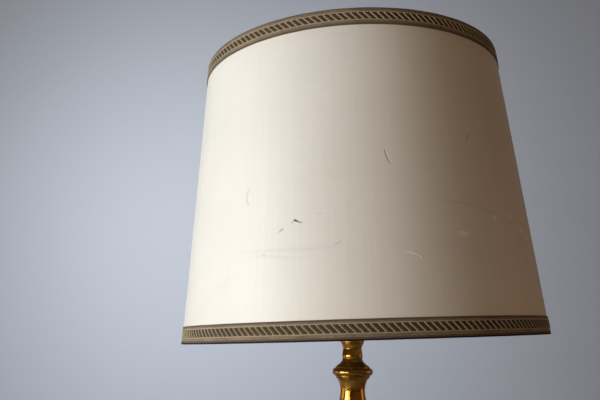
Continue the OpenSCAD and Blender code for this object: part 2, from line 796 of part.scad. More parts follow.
module shade_top_ring() {
    color("#d9d2bf") in_shade() ring_of_wire(shade_h - ring_h);
}

module shade_bottom_ring() {
    color("#d9d2bf") in_shade() ring_of_wire(ring_h);
}

// The arms run into the top ring, where they are welded
module shade_spider() {
    ring_r = ring_radius(shade_h - ring_h);
    arm_h = seat_h + spider_washer_t / 2 + arm_wire / 2 - 0.1;
    start = 10.4;
    rise = 30;
    bend = 12;
    slope = (shade_h - ring_h - arm_h - bend * (1 - cos(rise))) / sin(rise);
    level = ring_r - start - bend * sin(rise) - slope * cos(rise);
    weld = ring_wire / 2 - 0.4;
    color("#d9d2bf") in_shade() union() {
        ring(washer_hole_r, spider_washer_r, seat_h - spider_washer_t / 2, spider_washer_t);
        for (a = [90, 210, 330]) rotate([0, 0, a])
            wire(arm_wire, [start, arm_h], 0, [[level, 0, 0], [0, rise, bend], [slope - weld, 0, 0]]);
    }
}

module shade_liner() {
    color("#efe6d2") in_shade() shade_band(-skin, -cover_t - 0.05, 0, shade_h);
}

module shade_cover() {
    color("#f0e6cf") in_shade() shade_band(-cover_t, 0, 0, shade_h);
}

// Cotton tape: a flat tail on the liner that turns over the ring; way is 1 at the bottom rim
module shade_tape(h, way) {
    face = shade_r(h) - skin - 0.05;
    outer = tape_r + tape_t;
    r = face - outer;
    tail = h + way * tape_w;
    tail_r = shade_r(tail) - skin - 0.05;
    steps = 8;
    color("#f3ead6") in_shade() rotate_extrude() polygon(concat(
        [for (k = [0 : steps]) let (a = tape_wrap * k / steps)
            [r + outer * cos(a), h - way * outer * sin(a)]],
        [for (k = [steps : -1 : 0]) let (a = tape_wrap * k / steps)
            [r + tape_r * cos(a), h - way * tape_r * sin(a)]],
        [[tail_r - tape_t, tail], [tail_r, tail]]
    ));
}

module shade_tape_top() {
    shade_tape(shade_h - ring_h, -1);
}

module shade_tape_bottom() {
    shade_tape(ring_h, 1);
}

// Woven braid: a flat band with rolled edges, glued outside the rim
module shade_braid(h0, h1) {
    roll = 1.2;
    color("#8d7444") in_shade() rotate_extrude() polygon(concat(
        [for (k = [0 : 4]) let (a = 90 * k / 4)
            [shade_r(h0) + 0.05 + (braid_t - 0.05) * sin(a), h0 + roll * (1 - cos(a))]],
        [for (k = [4 : -1 : 0]) let (a = 90 * k / 4)
            [shade_r(h1) + 0.05 + (braid_t - 0.05) * sin(a), h1 - roll * (1 - cos(a))]]
    ));
}

module shade_braid_top() {
    shade_braid(shade_h - braid_w, shade_h);
}

module shade_braid_bottom() {
    shade_braid(0, braid_w);
}

felt_pad();
base_cover();
base_plate();
base_weight();
cord_bushing();
terminal_block();
terminal_block_screws();
pipe_nut();
pipe_washer();
stem_pipe();
stem_foot();
stem_knop();
stem_vase();
stem_neck();
check_ring();
lead_live();
lead_neutral();
harp_saddle();
harp_bow();
harp_ferrule_left();
harp_ferrule_right();
harp_stud();
finial();
socket_cap();
socket_set_screw();
socket_shell();
socket_sleeve();
socket_body();
socket_screw_shell();
socket_contact();
socket_terminal_screws();
switch_shaft();
switch_knob();
bulb_glass();
bulb_base();
bulb_insulator();
bulb_contact();
bulb_mount();
bulb_filament();
shade_spider();
shade_top_ring();
shade_bottom_ring();
shade_liner();
shade_cover();
shade_tape_top();
shade_tape_bottom();
shade_braid_top();
shade_braid_bottom();
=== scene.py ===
"""Looks of a turned brass table lamp with a satin shade edged in woven braid.

The shapes are worked out in millimetres, in the lamp's own frame: z up from the table, -y to the
front. Piece.build turns them into metres. Each shape is an outline turned round an axis, or a
profile carried along a path, computed as whole arrays.
"""
import math
import bpy
import bmesh
import numpy as np
from mathutils import Matrix, Vector


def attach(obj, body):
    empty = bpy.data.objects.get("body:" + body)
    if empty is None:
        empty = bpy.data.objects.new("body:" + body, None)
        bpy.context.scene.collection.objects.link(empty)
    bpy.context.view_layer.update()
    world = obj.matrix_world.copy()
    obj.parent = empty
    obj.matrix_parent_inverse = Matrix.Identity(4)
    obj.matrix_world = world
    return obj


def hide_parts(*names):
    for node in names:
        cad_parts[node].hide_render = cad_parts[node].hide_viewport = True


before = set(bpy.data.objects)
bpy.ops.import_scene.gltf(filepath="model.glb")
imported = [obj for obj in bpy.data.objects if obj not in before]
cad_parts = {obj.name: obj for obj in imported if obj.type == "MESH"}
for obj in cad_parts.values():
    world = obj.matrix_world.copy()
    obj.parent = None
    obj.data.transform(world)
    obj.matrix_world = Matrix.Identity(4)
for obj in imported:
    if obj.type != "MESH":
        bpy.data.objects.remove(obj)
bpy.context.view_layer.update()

# ---- sizes the lamp's pieces share ------------------------------------------------------

BASE_D, BASE_H, FOOT_H, FOOT_D = 156.0, 42.0, 92.0, 80.0
KNOP_H, KNOP_D, VASE_D, NECK_H, COLLAR_D, BEAD_D = 20.0, 43.0, 74.0, 32.0, 40.0, 20.2
STAND_H, WALL, BORE_R = 370.0, 2.4, 5.1
KNOP_Z = BASE_H + FOOT_H
VASE_Z = KNOP_Z + KNOP_H
NECK_Z = STAND_H - NECK_H
VASE_H = NECK_Z - VASE_Z
SADDLE_Z, SADDLE_TOP = 373.0, 375.0
CAP_Z = SADDLE_TOP
KEY_Z = 405.0
BULB_Z, BULB_L, BULB_R = 412.8, 107.0, 30.0
LEG_X, STRAP_HALF, BOW_Z, SEAT_Z = 26.0, 2.5, 629.85, 636.0
SHADE_Z, SHADE_H, SHADE_TOP_R, SHADE_BOTTOM_R = 374.0, 277.0, 149.0, 175.0
LEAN = math.radians(2.1)
SATIN_ROUND, SATIN_DENT = 1018.0, 0.22      # once round at half height; depth of the slow waves
BRAID_W, BRAID_BAR_HALF = 16.0, 3.45
RING_H, RING_WIRE_R, TAPE_TAIL = 2.15, 1.5, 12.0
FINIAL_Z, FINIAL_H, FINIAL_BALL_R = 637.0, 31.0, 3.3
GLASS_Z, GLASS_WALL = 432.3, 0.6
CAMERA_AT, CAMERA_LENS = (0.0, -0.68525, 0.37865), 40.686
CAMERA_TURN, CAMERA_PITCH, CAMERA_ROLL = (math.radians(v) for v in (4.423, 11.161, 0.5))
TAU = 2 * math.pi


# ---- lines and outlines -----------------------------------------------------------------

def smooth(points, steps=10):
    """Curve through the points: between p1 and p2 it is the Catmull-Rom cubic
    (2 p1 + (p2-p0) t + (2 p0-5 p1+4 p2-p3) t^2 + (3 p1-p0-3 p2+p3) t^3) / 2."""
    p = np.asarray(points, float)
    q = np.vstack([p[:1], p, p[-1:]])
    t = (np.arange(steps) / steps)[None, :, None]
    a, b, c, d = (q[i:len(q) - 3 + i, None, :] for i in range(4))
    curve = (2 * b + (c - a) * t + (2 * a - 5 * b + 4 * c - d) * t ** 2
             + (3 * b - a - 3 * c + d) * t ** 3) / 2
    return np.vstack([curve.reshape(-1, p.shape[1]), p[-1:]])


def bead(r, z0, z1, d, steps=20):
    """Half-round from (r, z0) to (r, z1) that stands out by d: r + d sin a, mid - half cos a."""
    a = np.linspace(0, math.pi, steps + 1)
    return np.stack([r + d * np.sin(a), (z0 + z1) / 2 - (z1 - z0) / 2 * np.cos(a)], 1)


def heading(path):
    """Unit vector along the path at each of its points."""
    way = np.gradient(np.asarray(path, float), axis=0)
    return way / (np.linalg.norm(way, axis=1, keepdims=True) + 1e-12)


def outward(outline):
    """Unit vector square to the outline, (dz, -dr), outwards where the outline climbs."""
    way = heading(outline)
    return np.stack([way[:, 1], -way[:, 0]], 1)


def inset(outline, wall):
    """Outline moved inwards by the wall, square to its own direction."""
    return np.asarray(outline, float) - wall * outward(outline)


def lengths(path):
    """How far along the path each of its points lies."""
    return np.r_[0, np.cumsum(np.linalg.norm(np.diff(path, axis=0), axis=1))]


def whole_turn(count, lead=0.0):
    """Angles once round, from lead."""
    return np.linspace(0, TAU, count, endpoint=False) + lead


def round_z(r, a, z):
    """Points at radius r, angle a and height z: (r cos a, r sin a, z)."""
    return np.stack(np.broadcast_arrays(r * np.cos(a), r * np.sin(a), z), -1)


def strip_map(count, v):
    """Map of a strip: u in count even steps from 0 to 1, v as given."""
    return np.stack(np.broadcast_arrays(np.linspace(0, 1, count + 1)[:, None], v[None]), -1)


def raised(outline, z):
    """Outline lifted by z."""
    return np.asarray(outline, float) + [0, z]


def line(*parts):
    """Outline made of points and stretches, one after the other."""
    return np.vstack([np.asarray(p, float).reshape(-1, 2) for p in parts])


def even(path, step, closed=False):
    """The path sampled again at even distances, at most step apart."""
    p = np.vstack([path, path[:1]]) if closed else np.asarray(path, float)
    far = lengths(p)
    count = max(int(math.ceil(far[-1] / step)), 8)
    at = np.linspace(0, far[-1], count + 1)[:-1 if closed else None]
    return np.stack([np.interp(at, far, p[:, k]) for k in range(p.shape[1])], 1)


def blurred(values, sigma, closed):
    """Values along a path, each made the Gaussian mean of its neighbours."""
    reach = max(int(3 * sigma), 1)
    weight = np.exp(-0.5 * (np.arange(-reach, reach + 1) / sigma) ** 2)
    weight /= weight.sum()
    if closed:
        padded = np.concatenate([values[-reach:], values, values[:reach]])
    else:
        padded = np.concatenate([2 * values[:1] - values[reach:0:-1], values,
                                 2 * values[-1:] - values[-2:-reach - 2:-1]])
    return np.stack([np.convolve(padded[:, k], weight, "valid") for k in range(values.shape[1])], 1)


def worn(outline, step=0.4, edge=0.35, closed=True):
    """Outline with its corners rounded as by polishing: even steps, then a Gaussian of radius edge."""
    return blurred(even(outline, step, closed), edge / step, closed)


def unevenness(angle, z, seed, cell=9.0):
    """Slow waves over a turned surface, from -1 to 1: a sum of sines in angle and height."""
    rng = np.random.default_rng(seed)
    total = np.zeros(np.broadcast(angle, z).shape)
    for k in range(7):
        turns = rng.integers(1, 7)
        total = total + np.sin(turns * angle + z / cell * rng.uniform(0.4, 2.2) + rng.uniform(0, TAU))
    return total / 4.0


# ---- pieces -----------------------------------------------------------------------------

def link(obj):
    """Puts the object into the scene."""
    bpy.context.scene.collection.objects.link(obj)


class Piece:
    """A mesh gathered from surfaces. Each surface is a grid of points of shape (n, m, 3)."""

    def __init__(self):
        self.points, self.faces, self.uvs, self.slots, self.marks = [], [], [], [], []
        self.count = 0

    def add(self, grid, loop=(True, True), uv=None, slot=0, mark=0.0):
        """One closed surface. loop says which ways it joins its own start; a row that is one point
        is a pole. Faces are turned outwards by the sign of the volume. uv is a grid one longer each
        way that loops; mark is one number a point, for the finish to read."""
        n, m = grid.shape[:2]
        i = np.arange(n if loop[0] else n - 1)[:, None]
        j = np.arange(m if loop[1] else m - 1)[None, :]
        a, b = i * m + j, (i + 1) % n * m + j
        c, d = (i + 1) % n * m + (j + 1) % m, i * m + (j + 1) % m
        faces = np.stack([a, b, c, d], -1).reshape(-1, 4)
        if uv is None:
            u, v = i.size, j.size
            uv = np.stack(np.meshgrid(np.arange(u + 1) / u, np.arange(v + 1) / v, indexing="ij"), -1)
        corners = np.stack([uv[:-1, :-1], uv[1:, :-1], uv[1:, 1:], uv[:-1, 1:]], 2).reshape(-1, 4, 2)
        flat = grid.reshape(-1, 3)
        p = flat[faces] - flat.mean(0)
        volume = (np.einsum("ij,ij->i", p[:, 0], np.cross(p[:, 1], p[:, 2])).sum()
                  + np.einsum("ij,ij->i", p[:, 0], np.cross(p[:, 2], p[:, 3])).sum())
        if volume < 0:
            faces, corners = faces[:, ::-1], corners[:, ::-1]
        self.points.append(flat)
        self.faces.append(faces + self.count)
        self.uvs.append(corners)
        self.slots.append(np.full(len(faces), slot, np.int32))
        self.marks.append(np.broadcast_to(mark, grid.shape[:2]).ravel())
        self.count += len(flat)
        return self

    def build(self, name, body, finishes, node, slot, crease=38.0):
        """The Blender object, in metres: poles welded, edges sharper than crease left sharp. It
        rides on the body and stands for the CAD node. The slot argument is not used."""
        mesh = bpy.data.meshes.new(name)
        faces = np.concatenate(self.faces)
        mesh.from_pydata(np.concatenate(self.points) / 1000.0, [], faces)
        mesh.uv_layers.new(name="UVMap").data.foreach_set("uv", np.concatenate(self.uvs).ravel())
        mesh.polygons.foreach_set("material_index", np.concatenate(self.slots))
        mark = mesh.attributes.new("mark", "FLOAT", "POINT")
        mark.data.foreach_set("value", np.concatenate(self.marks).astype(np.float32))
        shape = bmesh.new()
        shape.from_mesh(mesh)
        bmesh.ops.remove_doubles(shape, verts=shape.verts, dist=2e-7)
        bmesh.ops.dissolve_degenerate(shape, edges=shape.edges, dist=1e-9)
        shape.to_mesh(mesh)
        shape.free()
        mesh.shade_smooth()
        mesh.set_sharp_from_angle(angle=math.radians(crease))
        obj = bpy.data.objects.new(name, mesh)
        link(obj)
        for finish in finishes if isinstance(finishes, list) else [finishes]:
            mesh.materials.append(finish.material)
        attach(obj, body)
        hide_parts(node)
        return obj


def capped(grid):
    """The grid with its first and last rows closed to their middles."""
    first = np.broadcast_to(grid[0].mean(0), grid[0].shape)
    last = np.broadcast_to(grid[-1].mean(0), grid[-1].shape)
    return np.concatenate([first[None], grid, last[None]])


def turned(outline, around=160, waves=0.0, seed=1, axis="z", at=(0, 0, 0), flutes=None):
    """Grid of an outline (r, z) carried round an axis: (r cos a, r sin a, z). waves is how far
    the radius wanders by unevenness(a, z); flutes, if given, changes r by a function of a and z."""
    a = whole_turn(around)[:, None]
    r, z = outline[None, :, 0], outline[None, :, 1]
    if waves:
        r = r + waves * unevenness(a, z, seed) * np.clip(r / 6.0, 0, 1)
    if flutes is not None:
        r = flutes(r, a, z)
    x, y, z = np.moveaxis(round_z(r, a, z), -1, 0)
    grid = {"z": (x, y, z), "-y": (x, -z, y), "+y": (x, z, -y)}[axis]
    return np.stack(grid, -1) + np.asarray(at, float)


def grooves(outline, closed=True, step=0.4, reach=1.6):
    """How far each point lies in a hollow of the outline, 0 to 1: its distance inside the
    outline's own wide Gaussian mean, over half a millimetre."""
    sunk = blurred(outline, reach / step, closed) - outline
    return np.clip(np.einsum("ij,ij->i", sunk, outward(outline)) / 0.5, 0, 1)


def facing_up(outline):
    """How far each point of the outline faces upwards, 0 to 1, from its outward normal's height."""
    return np.clip((outward(outline)[:, 1] - 0.30) / 0.40, 0, 1)


def tube(path, radius, sides):
    """Grid of a round wire with closed ends: at each point p of a path in the xz plane a ring
    p + r (cos b n + sin b m), where n and m are square to the path."""
    way = heading(path)
    n = np.cross([0.0, 1.0, 0.0], way)
    n /= np.linalg.norm(n, axis=1, keepdims=True)
    m = np.cross(way, n)
    b = whole_turn(sides)[None, :, None]
    return capped(path[:, None] + radius * (np.cos(b) * n[:, None] + np.sin(b) * m[:, None]))


def bent(start, towards, moves, step):
    """Path in the xz plane made of moves: (length, 0) is p + length (cos h, sin h); (turn in
    degrees, radius) is the arc p + radius (sin a - sin h, cos h - cos a), a going from h."""
    points, p, h = [np.array(start, float)[None]], np.array(start, float), math.radians(towards)
    for first, radius in moves:
        if radius:
            turn = math.radians(first)
            k = max(int(abs(turn) * radius / step), 4)
            a = h + turn * np.arange(1, k + 1)[:, None] / k
            side = math.copysign(radius, turn)
            run = p + side * np.hstack([np.sin(a) - math.sin(h), math.cos(h) - np.cos(a)])
            h += turn
        else:
            k = max(int(first / step / 2), 2)
            run = p + first * np.arange(1, k + 1)[:, None] / k * np.array([math.cos(h), math.sin(h)])
        points.append(run)
        p = run[-1]
    flat = np.vstack(points)
    return np.stack([flat[:, 0], 0 * flat[:, 0], flat[:, 1]], 1)


def box(low, high, edge=0.25):
    """Grid of a box with softened edges: a section (sign cos a |cos a|^0.12, sign sin a
    |sin a|^0.12) times its half sides, carried up and closed by poles."""
    low, high = np.asarray(low, float), np.asarray(high, float)
    mid, half = (low + high) / 2, (high - low) / 2
    a = whole_turn(48, 0.01)
    c, s = np.cos(a), np.sin(a)
    square = np.stack([np.sign(c) * np.abs(c) ** 0.12, np.sign(s) * np.abs(s) ** 0.12], 1)
    rows = [(0.0, -half[2]), (1 - edge / half[:2].min(), -half[2]), (1.0, -half[2] + edge),
            (1.0, half[2] - edge), (1 - edge / half[:2].min(), half[2]), (0.0, half[2])]
    return np.stack([np.column_stack([mid[:2] + square * (k * half[:2]), np.full(len(a), mid[2] + z)])
                     for k, z in rows])


def in_shade(grid):
    """Points given from the shade's own bottom, carried to where it leans on the harp's seat: a
    turn by LEAN about y at the seat's height."""
    g = np.asarray(grid, float)
    c, s = math.cos(LEAN), math.sin(LEAN)
    z = g[..., 2] - (SEAT_Z - SHADE_Z)
    return np.stack([g[..., 0] * c - z * s, g[..., 1], g[..., 0] * s + z * c + SEAT_Z], -1)


def shade_r(h):
    """The satin's radius at height h: the cone's straight side between its two rims."""
    return SHADE_BOTTOM_R + (SHADE_TOP_R - SHADE_BOTTOM_R) * np.asarray(h, float) / SHADE_H


# ---- finishes ---------------------------------------------------------------------------

def reckoned(operation, swap=False):
    """One operator of Value: adds the Math node, its two sides exchanged if swap."""
    def act(value, other=None):
        pair = (other, value) if swap else (value, other)
        given = {k: v for k, v in enumerate(pair) if v is not None}
        return value.finish.node("ShaderNodeMath", {"operation": operation}, given)
    return act


class Value:
    """A socket that can be reckoned with: + - * / and ** add the Math nodes."""

    def __init__(self, finish, socket):
        self.finish, self.socket = finish, socket

    __add__ = __radd__ = reckoned("ADD")
    __sub__, __rsub__ = reckoned("SUBTRACT"), reckoned("SUBTRACT", True)
    __mul__ = __rmul__ = reckoned("MULTIPLY")
    __truediv__, __pow__ = reckoned("DIVIDE"), reckoned("POWER")
    sine, size, whole = reckoned("SINE"), reckoned("ABSOLUTE"), reckoned("FLOOR")


class Finish:
    """One procedural material."""

    def __init__(self, name, **constants):
        self.material = bpy.data.materials.new(name)
        self.material.use_nodes = True
        self.nodes = self.material.node_tree.nodes
        self.shader = self.nodes["Principled BSDF"]
        self.bumped = None
        self.set(**constants)

    def node(self, kind, settings=None, inputs=None, out=0):
        """One node, its settings made first. Inputs go by number or name."""
        made = self.nodes.new(kind)
        for key, value in (settings or {}).items():
            setattr(made, key, value)
        for key, value in (inputs or {}).items():
            self.feed(made.inputs[key], value)
        return Value(self, made.outputs[out])

    def feed(self, socket, value):
        """Links a Value to the socket, or sets it to a number or a colour."""
        if isinstance(value, Value):
            self.material.node_tree.links.new(value.socket, socket)
        elif isinstance(value, tuple) and len(value) == 3 and socket.type == "RGBA":
            socket.default_value = (*value, 1)
        else:
            socket.default_value = value

    def set(self, **sockets):
        """Feeds the shader's own sockets by name."""
        for name, value in sockets.items():
            self.feed(self.shader.inputs[name.replace("_", " ")], value)
        return self

    def place(self):
        """The place on the piece, in metres."""
        return self.node("ShaderNodeTexCoord", out=3)

    def cloth(self):
        """The piece's own map, u and v apart."""
        split = self.nodes.new("ShaderNodeSeparateXYZ")
        self.feed(split.inputs[0], self.node("ShaderNodeUVMap", {"uv_map": "UVMap"}))
        return Value(self, split.outputs[0]), Value(self, split.outputs[1])

    def mark(self):
        """The number that the mesh keeps at each point."""
        return self.node("ShaderNodeAttribute", {"attribute_name": "mark"}, out=2)

    def join(self, x, y, z):
        """One vector or grey colour from three numbers."""
        return self.node("ShaderNodeCombineXYZ", None, {0: x, 1: y, 2: z})

    def noise(self, at, scale, detail=3.0, rough=0.55, warp=0.0):
        """Soft noise around 0.5, scale waves a metre."""
        return self.node("ShaderNodeTexNoise", None, {
            "Vector": at, "Scale": scale, "Detail": detail, "Roughness": rough, "Distortion": warp})

    def weave(self, s, h, seed, detail, rough=0.6):
        """Noise over the cloth, with its own seed: s and h are millimetres times a scale each."""
        return self.noise(self.join(s, h, seed), 1.0, detail, rough)

    def cells(self, at, scale):
        """How far the place lies from the middle of its cell, 0 at the middle."""
        return self.node("ShaderNodeTexVoronoi", None, {"Vector": at, "Scale": scale})

    def step(self, value, low, high):
        """Smooth rise from 0 to 1 as value goes from low to high."""
        return self.node("ShaderNodeMapRange", {"interpolation_type": "SMOOTHSTEP"}, {
            0: value, 1: low, 2: high, 3: 0.0, 4: 1.0})

    def mix(self, share, a, b, blend="MIX"):
        """Colour that goes from a to b as share goes from 0 to 1."""
        return self.node("ShaderNodeMix", {"data_type": "RGBA", "blend_type": blend}, {
            0: share, 6: a, 7: b}, out=2)

    def bump(self, height, distance, strength=1.0):
        """Adds a bump over what is there; height is 0 to 1 and distance in metres."""
        inputs = {"Height": height, "Distance": distance, "Strength": strength}
        if self.bumped is not None:
            inputs["Normal"] = self.bumped
        self.bumped = self.node("ShaderNodeBump", None, inputs)
        self.feed(self.shader.inputs["Normal"], self.bumped)
        return self


def satin_finish():
    """Cream satin: faint slubs along the weft, a fine weave, old creases whose lines are darkened as
    painted shade, snags and soiled spots.
    s is millimetres round the shade from its middle front, to the right, and h from its bottom rim:
    the map's u runs once round from the back and its v from rim to rim."""
    f = Finish("cream_satin", Roughness=0.46, Specular_IOR_Level=0.42, Sheen_Weight=0.12,
               Sheen_Roughness=0.4, Anisotropic=0.35)
    u, v = f.cloth()
    s, h = u * SATIN_ROUND - SATIN_ROUND / 2, v * SHADE_H
    slubs = f.weave(s * 0.012, h * 0.9, 0.0, 4.0, 0.65)
    threads = f.weave(s * 0.10, h * 3.6, 3.0, 2.0, 0.5)
    warp = f.weave(s * 1.6, h * 0.02, 7.0, 2.0, 0.5)
    clouds = f.weave(s * 0.011, h * 0.017, 11.0, 3.0, 0.5)
    bands = f.weave(s * 0.30, h * 0.004, 31.0, 3.0)
    tone = 1.0 + (slubs - 0.5) * 0.07 + (threads - 0.5) * 0.10 + (warp - 0.5) * 0.06
    tone = tone + (clouds - 0.5) * 0.08 + (bands - 0.5) * 0.09
    soil = f.step(f.weave(s * 0.02, h * 0.05, 19.0, 4.0), 0.56, 0.8)
    rims = f.step(h, 40.0, 12.0) + f.step(h, 244.0, 262.0)

    def blot(at, up, wide, tall, slant=0.0, soft=0.55, edge=0.35):
        """A small mark: an ellipse in s and h whose edge is broken by noise."""
        x, y = s - at, h - up
        across, along = x + y * -slant, y + x * slant
        ragged = (f.weave(s * 0.7, h * 0.7, at, 3.0) - 0.5) * edge * 4.0
        far = ((across / wide) ** 2.0 + (along / tall) ** 2.0) ** 0.5 + ragged
        return f.step(far, 1.0 + soft, 1.0 - soft)

    def blots(first, *others):
        """Several small marks as one."""
        return sum((blot(*place) for place in others), blot(*first))

    def thread(at, up, tall, bow, width, tilt):
        """A pulled thread or crease: a short upright arc in s and h."""
        y = (h - up) / tall
        x = s - at - (y * y) * bow - y * tilt
        return f.step(x.size(), width * 1.5, width * 0.3) * f.step(y.size(), 1.05, 0.8)

    snag = blots((-48.2, 93.5, 2.0, 0.8, 0.46), (-49.9, 94.3, 1.3, 0.9))
    tail = blots((-51.8, 93.0, 1.9, 0.5, -0.75), (-61.2, 87.4, 3.1, 0.75, -0.6),
                 (-45.6, 92.4, 2.0, 0.6, 0.4))
    dots = blots((100.4, 165.0, 1.0, 1.5, 0.3), (165.0, 132.0, 1.0, 1.6))
    scuff = blot(-16.4, 73.9, 4.4, 0.6, -0.45, 0.7)
    faint = blots((-76.0, 68.2, 2.3, 1.0, 0.4), (-30.0, 98.0, 2.0, 0.7))
    smear = blots((-58.0, 71.4, 30.0, 1.5, 0.03, 0.8, 0.9), (-68.0, 66.5, 18.0, 1.5, 0.12, 0.8, 0.9))
    crease = thread(-95.7, 119.5, 8.7, 3.9, 0.9, 0.0)
    pulled = thread(23.9, 142.6, 6.2, 1.0, 0.5, -2.2)
    pale = blots((43.5, 62.0, 3.2, 0.9, 1.0, 0.7), (38.0, 64.5, 4.5, 0.9, 0.25, 0.8),
                 (82.8, 80.5, 4.5, 1.9, 0.15, 0.8), (144.5, 100.2, 5.5, 1.5, -0.45),
                 (156.0, 103.4, 3.0, 1.0, -0.3), (163.0, 89.8, 4.0, 3.0, -0.4, 0.8),
                 (119.0, 96.0, 3.6, 1.5, -0.4, 0.8), (171.0, 84.0, 2.6, 3.0))
    arc = (h - 107.5 + ((s - 55.0) / 22.0) ** 2.0).size()
    fold = f.step(arc, 1.6, 0.4) * f.step(s, 52.0, 75.0) * f.step(s, 128.0, 112.0)
    rub = f.step(f.weave(s * 0.16, h * 0.5, 29.0, 3.0), 0.60, 0.72)
    rub = rub * f.step((h - 84.0 - (s - 60.0) * 0.06).size(), 15.0, 4.0)
    rub = rub * f.step(s, 15.0, 60.0) * f.step(s, 190.0, 165.0)
    cream = f.mix(soil * 0.22, (0.82, 0.77, 0.68), (0.73, 0.65, 0.53))
    cream = f.mix(rims * 0.18, cream, (0.73, 0.64, 0.51))
    cream = f.mix(1.0, cream, f.join(tone, tone, tone), "MULTIPLY")
    # The crease and the fold are darkened along their lines as painted shade; the other marks are
    # smears, stains, snags and pale pulls of the satin.
    for share, mark_tint in ((smear * 0.13 + faint * 0.22 + fold * 0.16, (0.42, 0.35, 0.31)),
                         (crease * 0.24 + scuff * 0.34, (0.40, 0.33, 0.27)),
                         (pulled * 0.42, (0.20, 0.14, 0.11)),
                         (dots * 0.42 + tail * 0.58, (0.24, 0.13, 0.075)),
                         (snag * 0.84, (0.12, 0.062, 0.035)),
                         ((pale + rub * 0.5) * 0.9, (0.99, 0.97, 0.94))):
        cream = f.mix(share, cream, mark_tint)
    f.set(Base_Color=cream, Roughness=0.44 + (slubs - 0.5) * 0.22 + pale * 0.2 + soil * 0.06)
    f.bump(threads * 0.6 + slubs * 0.8 + warp * 0.25, 0.00012, 0.5)
    f.bump(crease * -0.6 + pulled * -0.8 + pale * 0.5 + snag * 0.7 + scuff * -0.4, 0.0004, 0.8)
    return f


def brass_finish(name, bright, dull, tarnish, pits=0.5, roughness=0.16, patina_and_shade_share=0.8):
    """Brass: warm metal whose hollows (the mark) and patches have gone dull and brown, with a
    slightly rolling, pitted surface. Where the mark holds upward faces, that brown is painted shade."""
    f = Finish(name, Metallic=1.0)
    at = f.place()
    patch = f.noise(at, 75.0, 4.0, 0.6, 0.4)
    fine = f.noise(at, 420.0, 3.0, 0.6)
    spots = f.step(f.cells(at, 330.0), 0.30, 0.12) * f.step(f.noise(at, 150.0, 2.0), 0.50, 0.64)
    hollow = f.mark()
    # Real patina in the hollows, and painted shade on upward faces where the mark holds them.
    patina_and_shade = f.step(hollow + (fine - 0.5) * 0.5, 0.15, 0.75) * patina_and_shade_share
    age = f.step(patch + (fine - 0.5) * 0.25, 0.45, 0.72)
    colour = f.mix(age * 0.75, bright, dull)
    colour = f.mix(spots * pits, colour, tarnish)
    colour = f.mix(patina_and_shade, colour, tarnish)
    cover = age * 0.05 + spots * (0.22 * pits) + patina_and_shade * 0.26 + (fine - 0.5) * 0.06
    f.set(Base_Color=colour, Roughness=roughness + cover, Metallic=1.0 - patina_and_shade * 0.35)
    f.bump(f.noise(at, 62.0, 2.0, 0.5, 0.3), 0.0009 * pits, 0.55)
    f.bump(spots * -1.0 + fine * 0.25, 0.00022 * pits, 0.8)
    return f


def plated_finish(name, colour, mark_tint, roughness):
    """Plated or drawn metal: light draw lines and a few dull stains."""
    f = Finish(name, Metallic=1.0)
    at = f.place()
    stains = f.step(f.noise(at, 60.0, 4.0, 0.6), 0.52, 0.8)
    fine = f.noise(at, 700.0, 2.0, 0.6)
    f.set(Base_Color=f.mix(stains * 0.6 + fine * 0.1, colour, mark_tint),
          Roughness=roughness + stains * 0.18 + (fine - 0.5) * 0.12)
    f.bump(fine, 0.00005, 0.5)
    return f


def moulded_finish(name, colour, other, roughness=0.35, speck=0.1, grain=900.0):
    """Moulded or pressed material: faint flow clouds, specks and a fine orange-peel."""
    f = Finish(name, Specular_IOR_Level=0.45)
    at = f.place()
    cloud = f.noise(at, 45.0, 4.0, 0.6, 0.5)
    fine = f.noise(at, grain, 2.0, 0.6)
    mottle = f.step(cloud, 0.35, 0.75) * 0.5 + f.step(fine, 0.6, 0.75) * speck
    f.set(Base_Color=f.mix(mottle, colour, other),
          Roughness=roughness + (cloud - 0.5) * 0.12 + (fine - 0.5) * 0.1)
    f.bump(fine, 0.00006, 0.5)
    return f


def fibre_finish(name, colour, dark, scale=1.0, fuzz=0.0005, roughness=0.9):
    """Felt, board or cast skin: tangled short fibres or grains, light and dark."""
    f = Finish(name, Roughness=roughness, Specular_IOR_Level=0.2, Sheen_Weight=0.25, Sheen_Roughness=0.5)
    at = f.place()
    strands = f.noise(at, 620.0 * scale, 5.0, 0.75, 2.2)
    cloud = f.noise(at, 70.0 * scale, 3.0, 0.6)
    f.set(Base_Color=f.mix(f.step(strands * 0.7 + cloud * 0.3, 0.36, 0.62), dark, colour))
    f.bump(strands, fuzz, 0.7)
    return f


def thread_finish(name, colour, dark, pitch, gloss, lay=1.0):
    """Twisted thread: u runs along it and v round it, so sin(u pitch + v lay) draws the twist."""
    f = Finish(name, Specular_IOR_Level=0.25, Sheen_Weight=0.08, Sheen_Roughness=0.4)
    u, v = f.cloth()
    fray = f.weave(u * (pitch * 0.9), v * 9.0, 0.0, 3.0)
    wave = ((u * pitch + v * lay) * TAU + (fray - 0.5)).sine() * 0.5 + 0.5
    cloud = f.noise(f.place(), 55.0, 3.0, 0.6)
    glint = f.step(f.noise(f.place(), 900.0, 2.0, 0.6), 0.56, 0.7)
    light = f.step(wave * 0.8 + (fray - 0.5) * 0.7 + (cloud - 0.5) * 0.5, 0.1, 0.75)
    f.set(Base_Color=f.mix(light, dark, colour), Roughness=gloss + (1.0 - glint) * 0.2)
    f.bump(wave * 0.8 + fray * 0.4, 0.00018, 0.8)
    return f


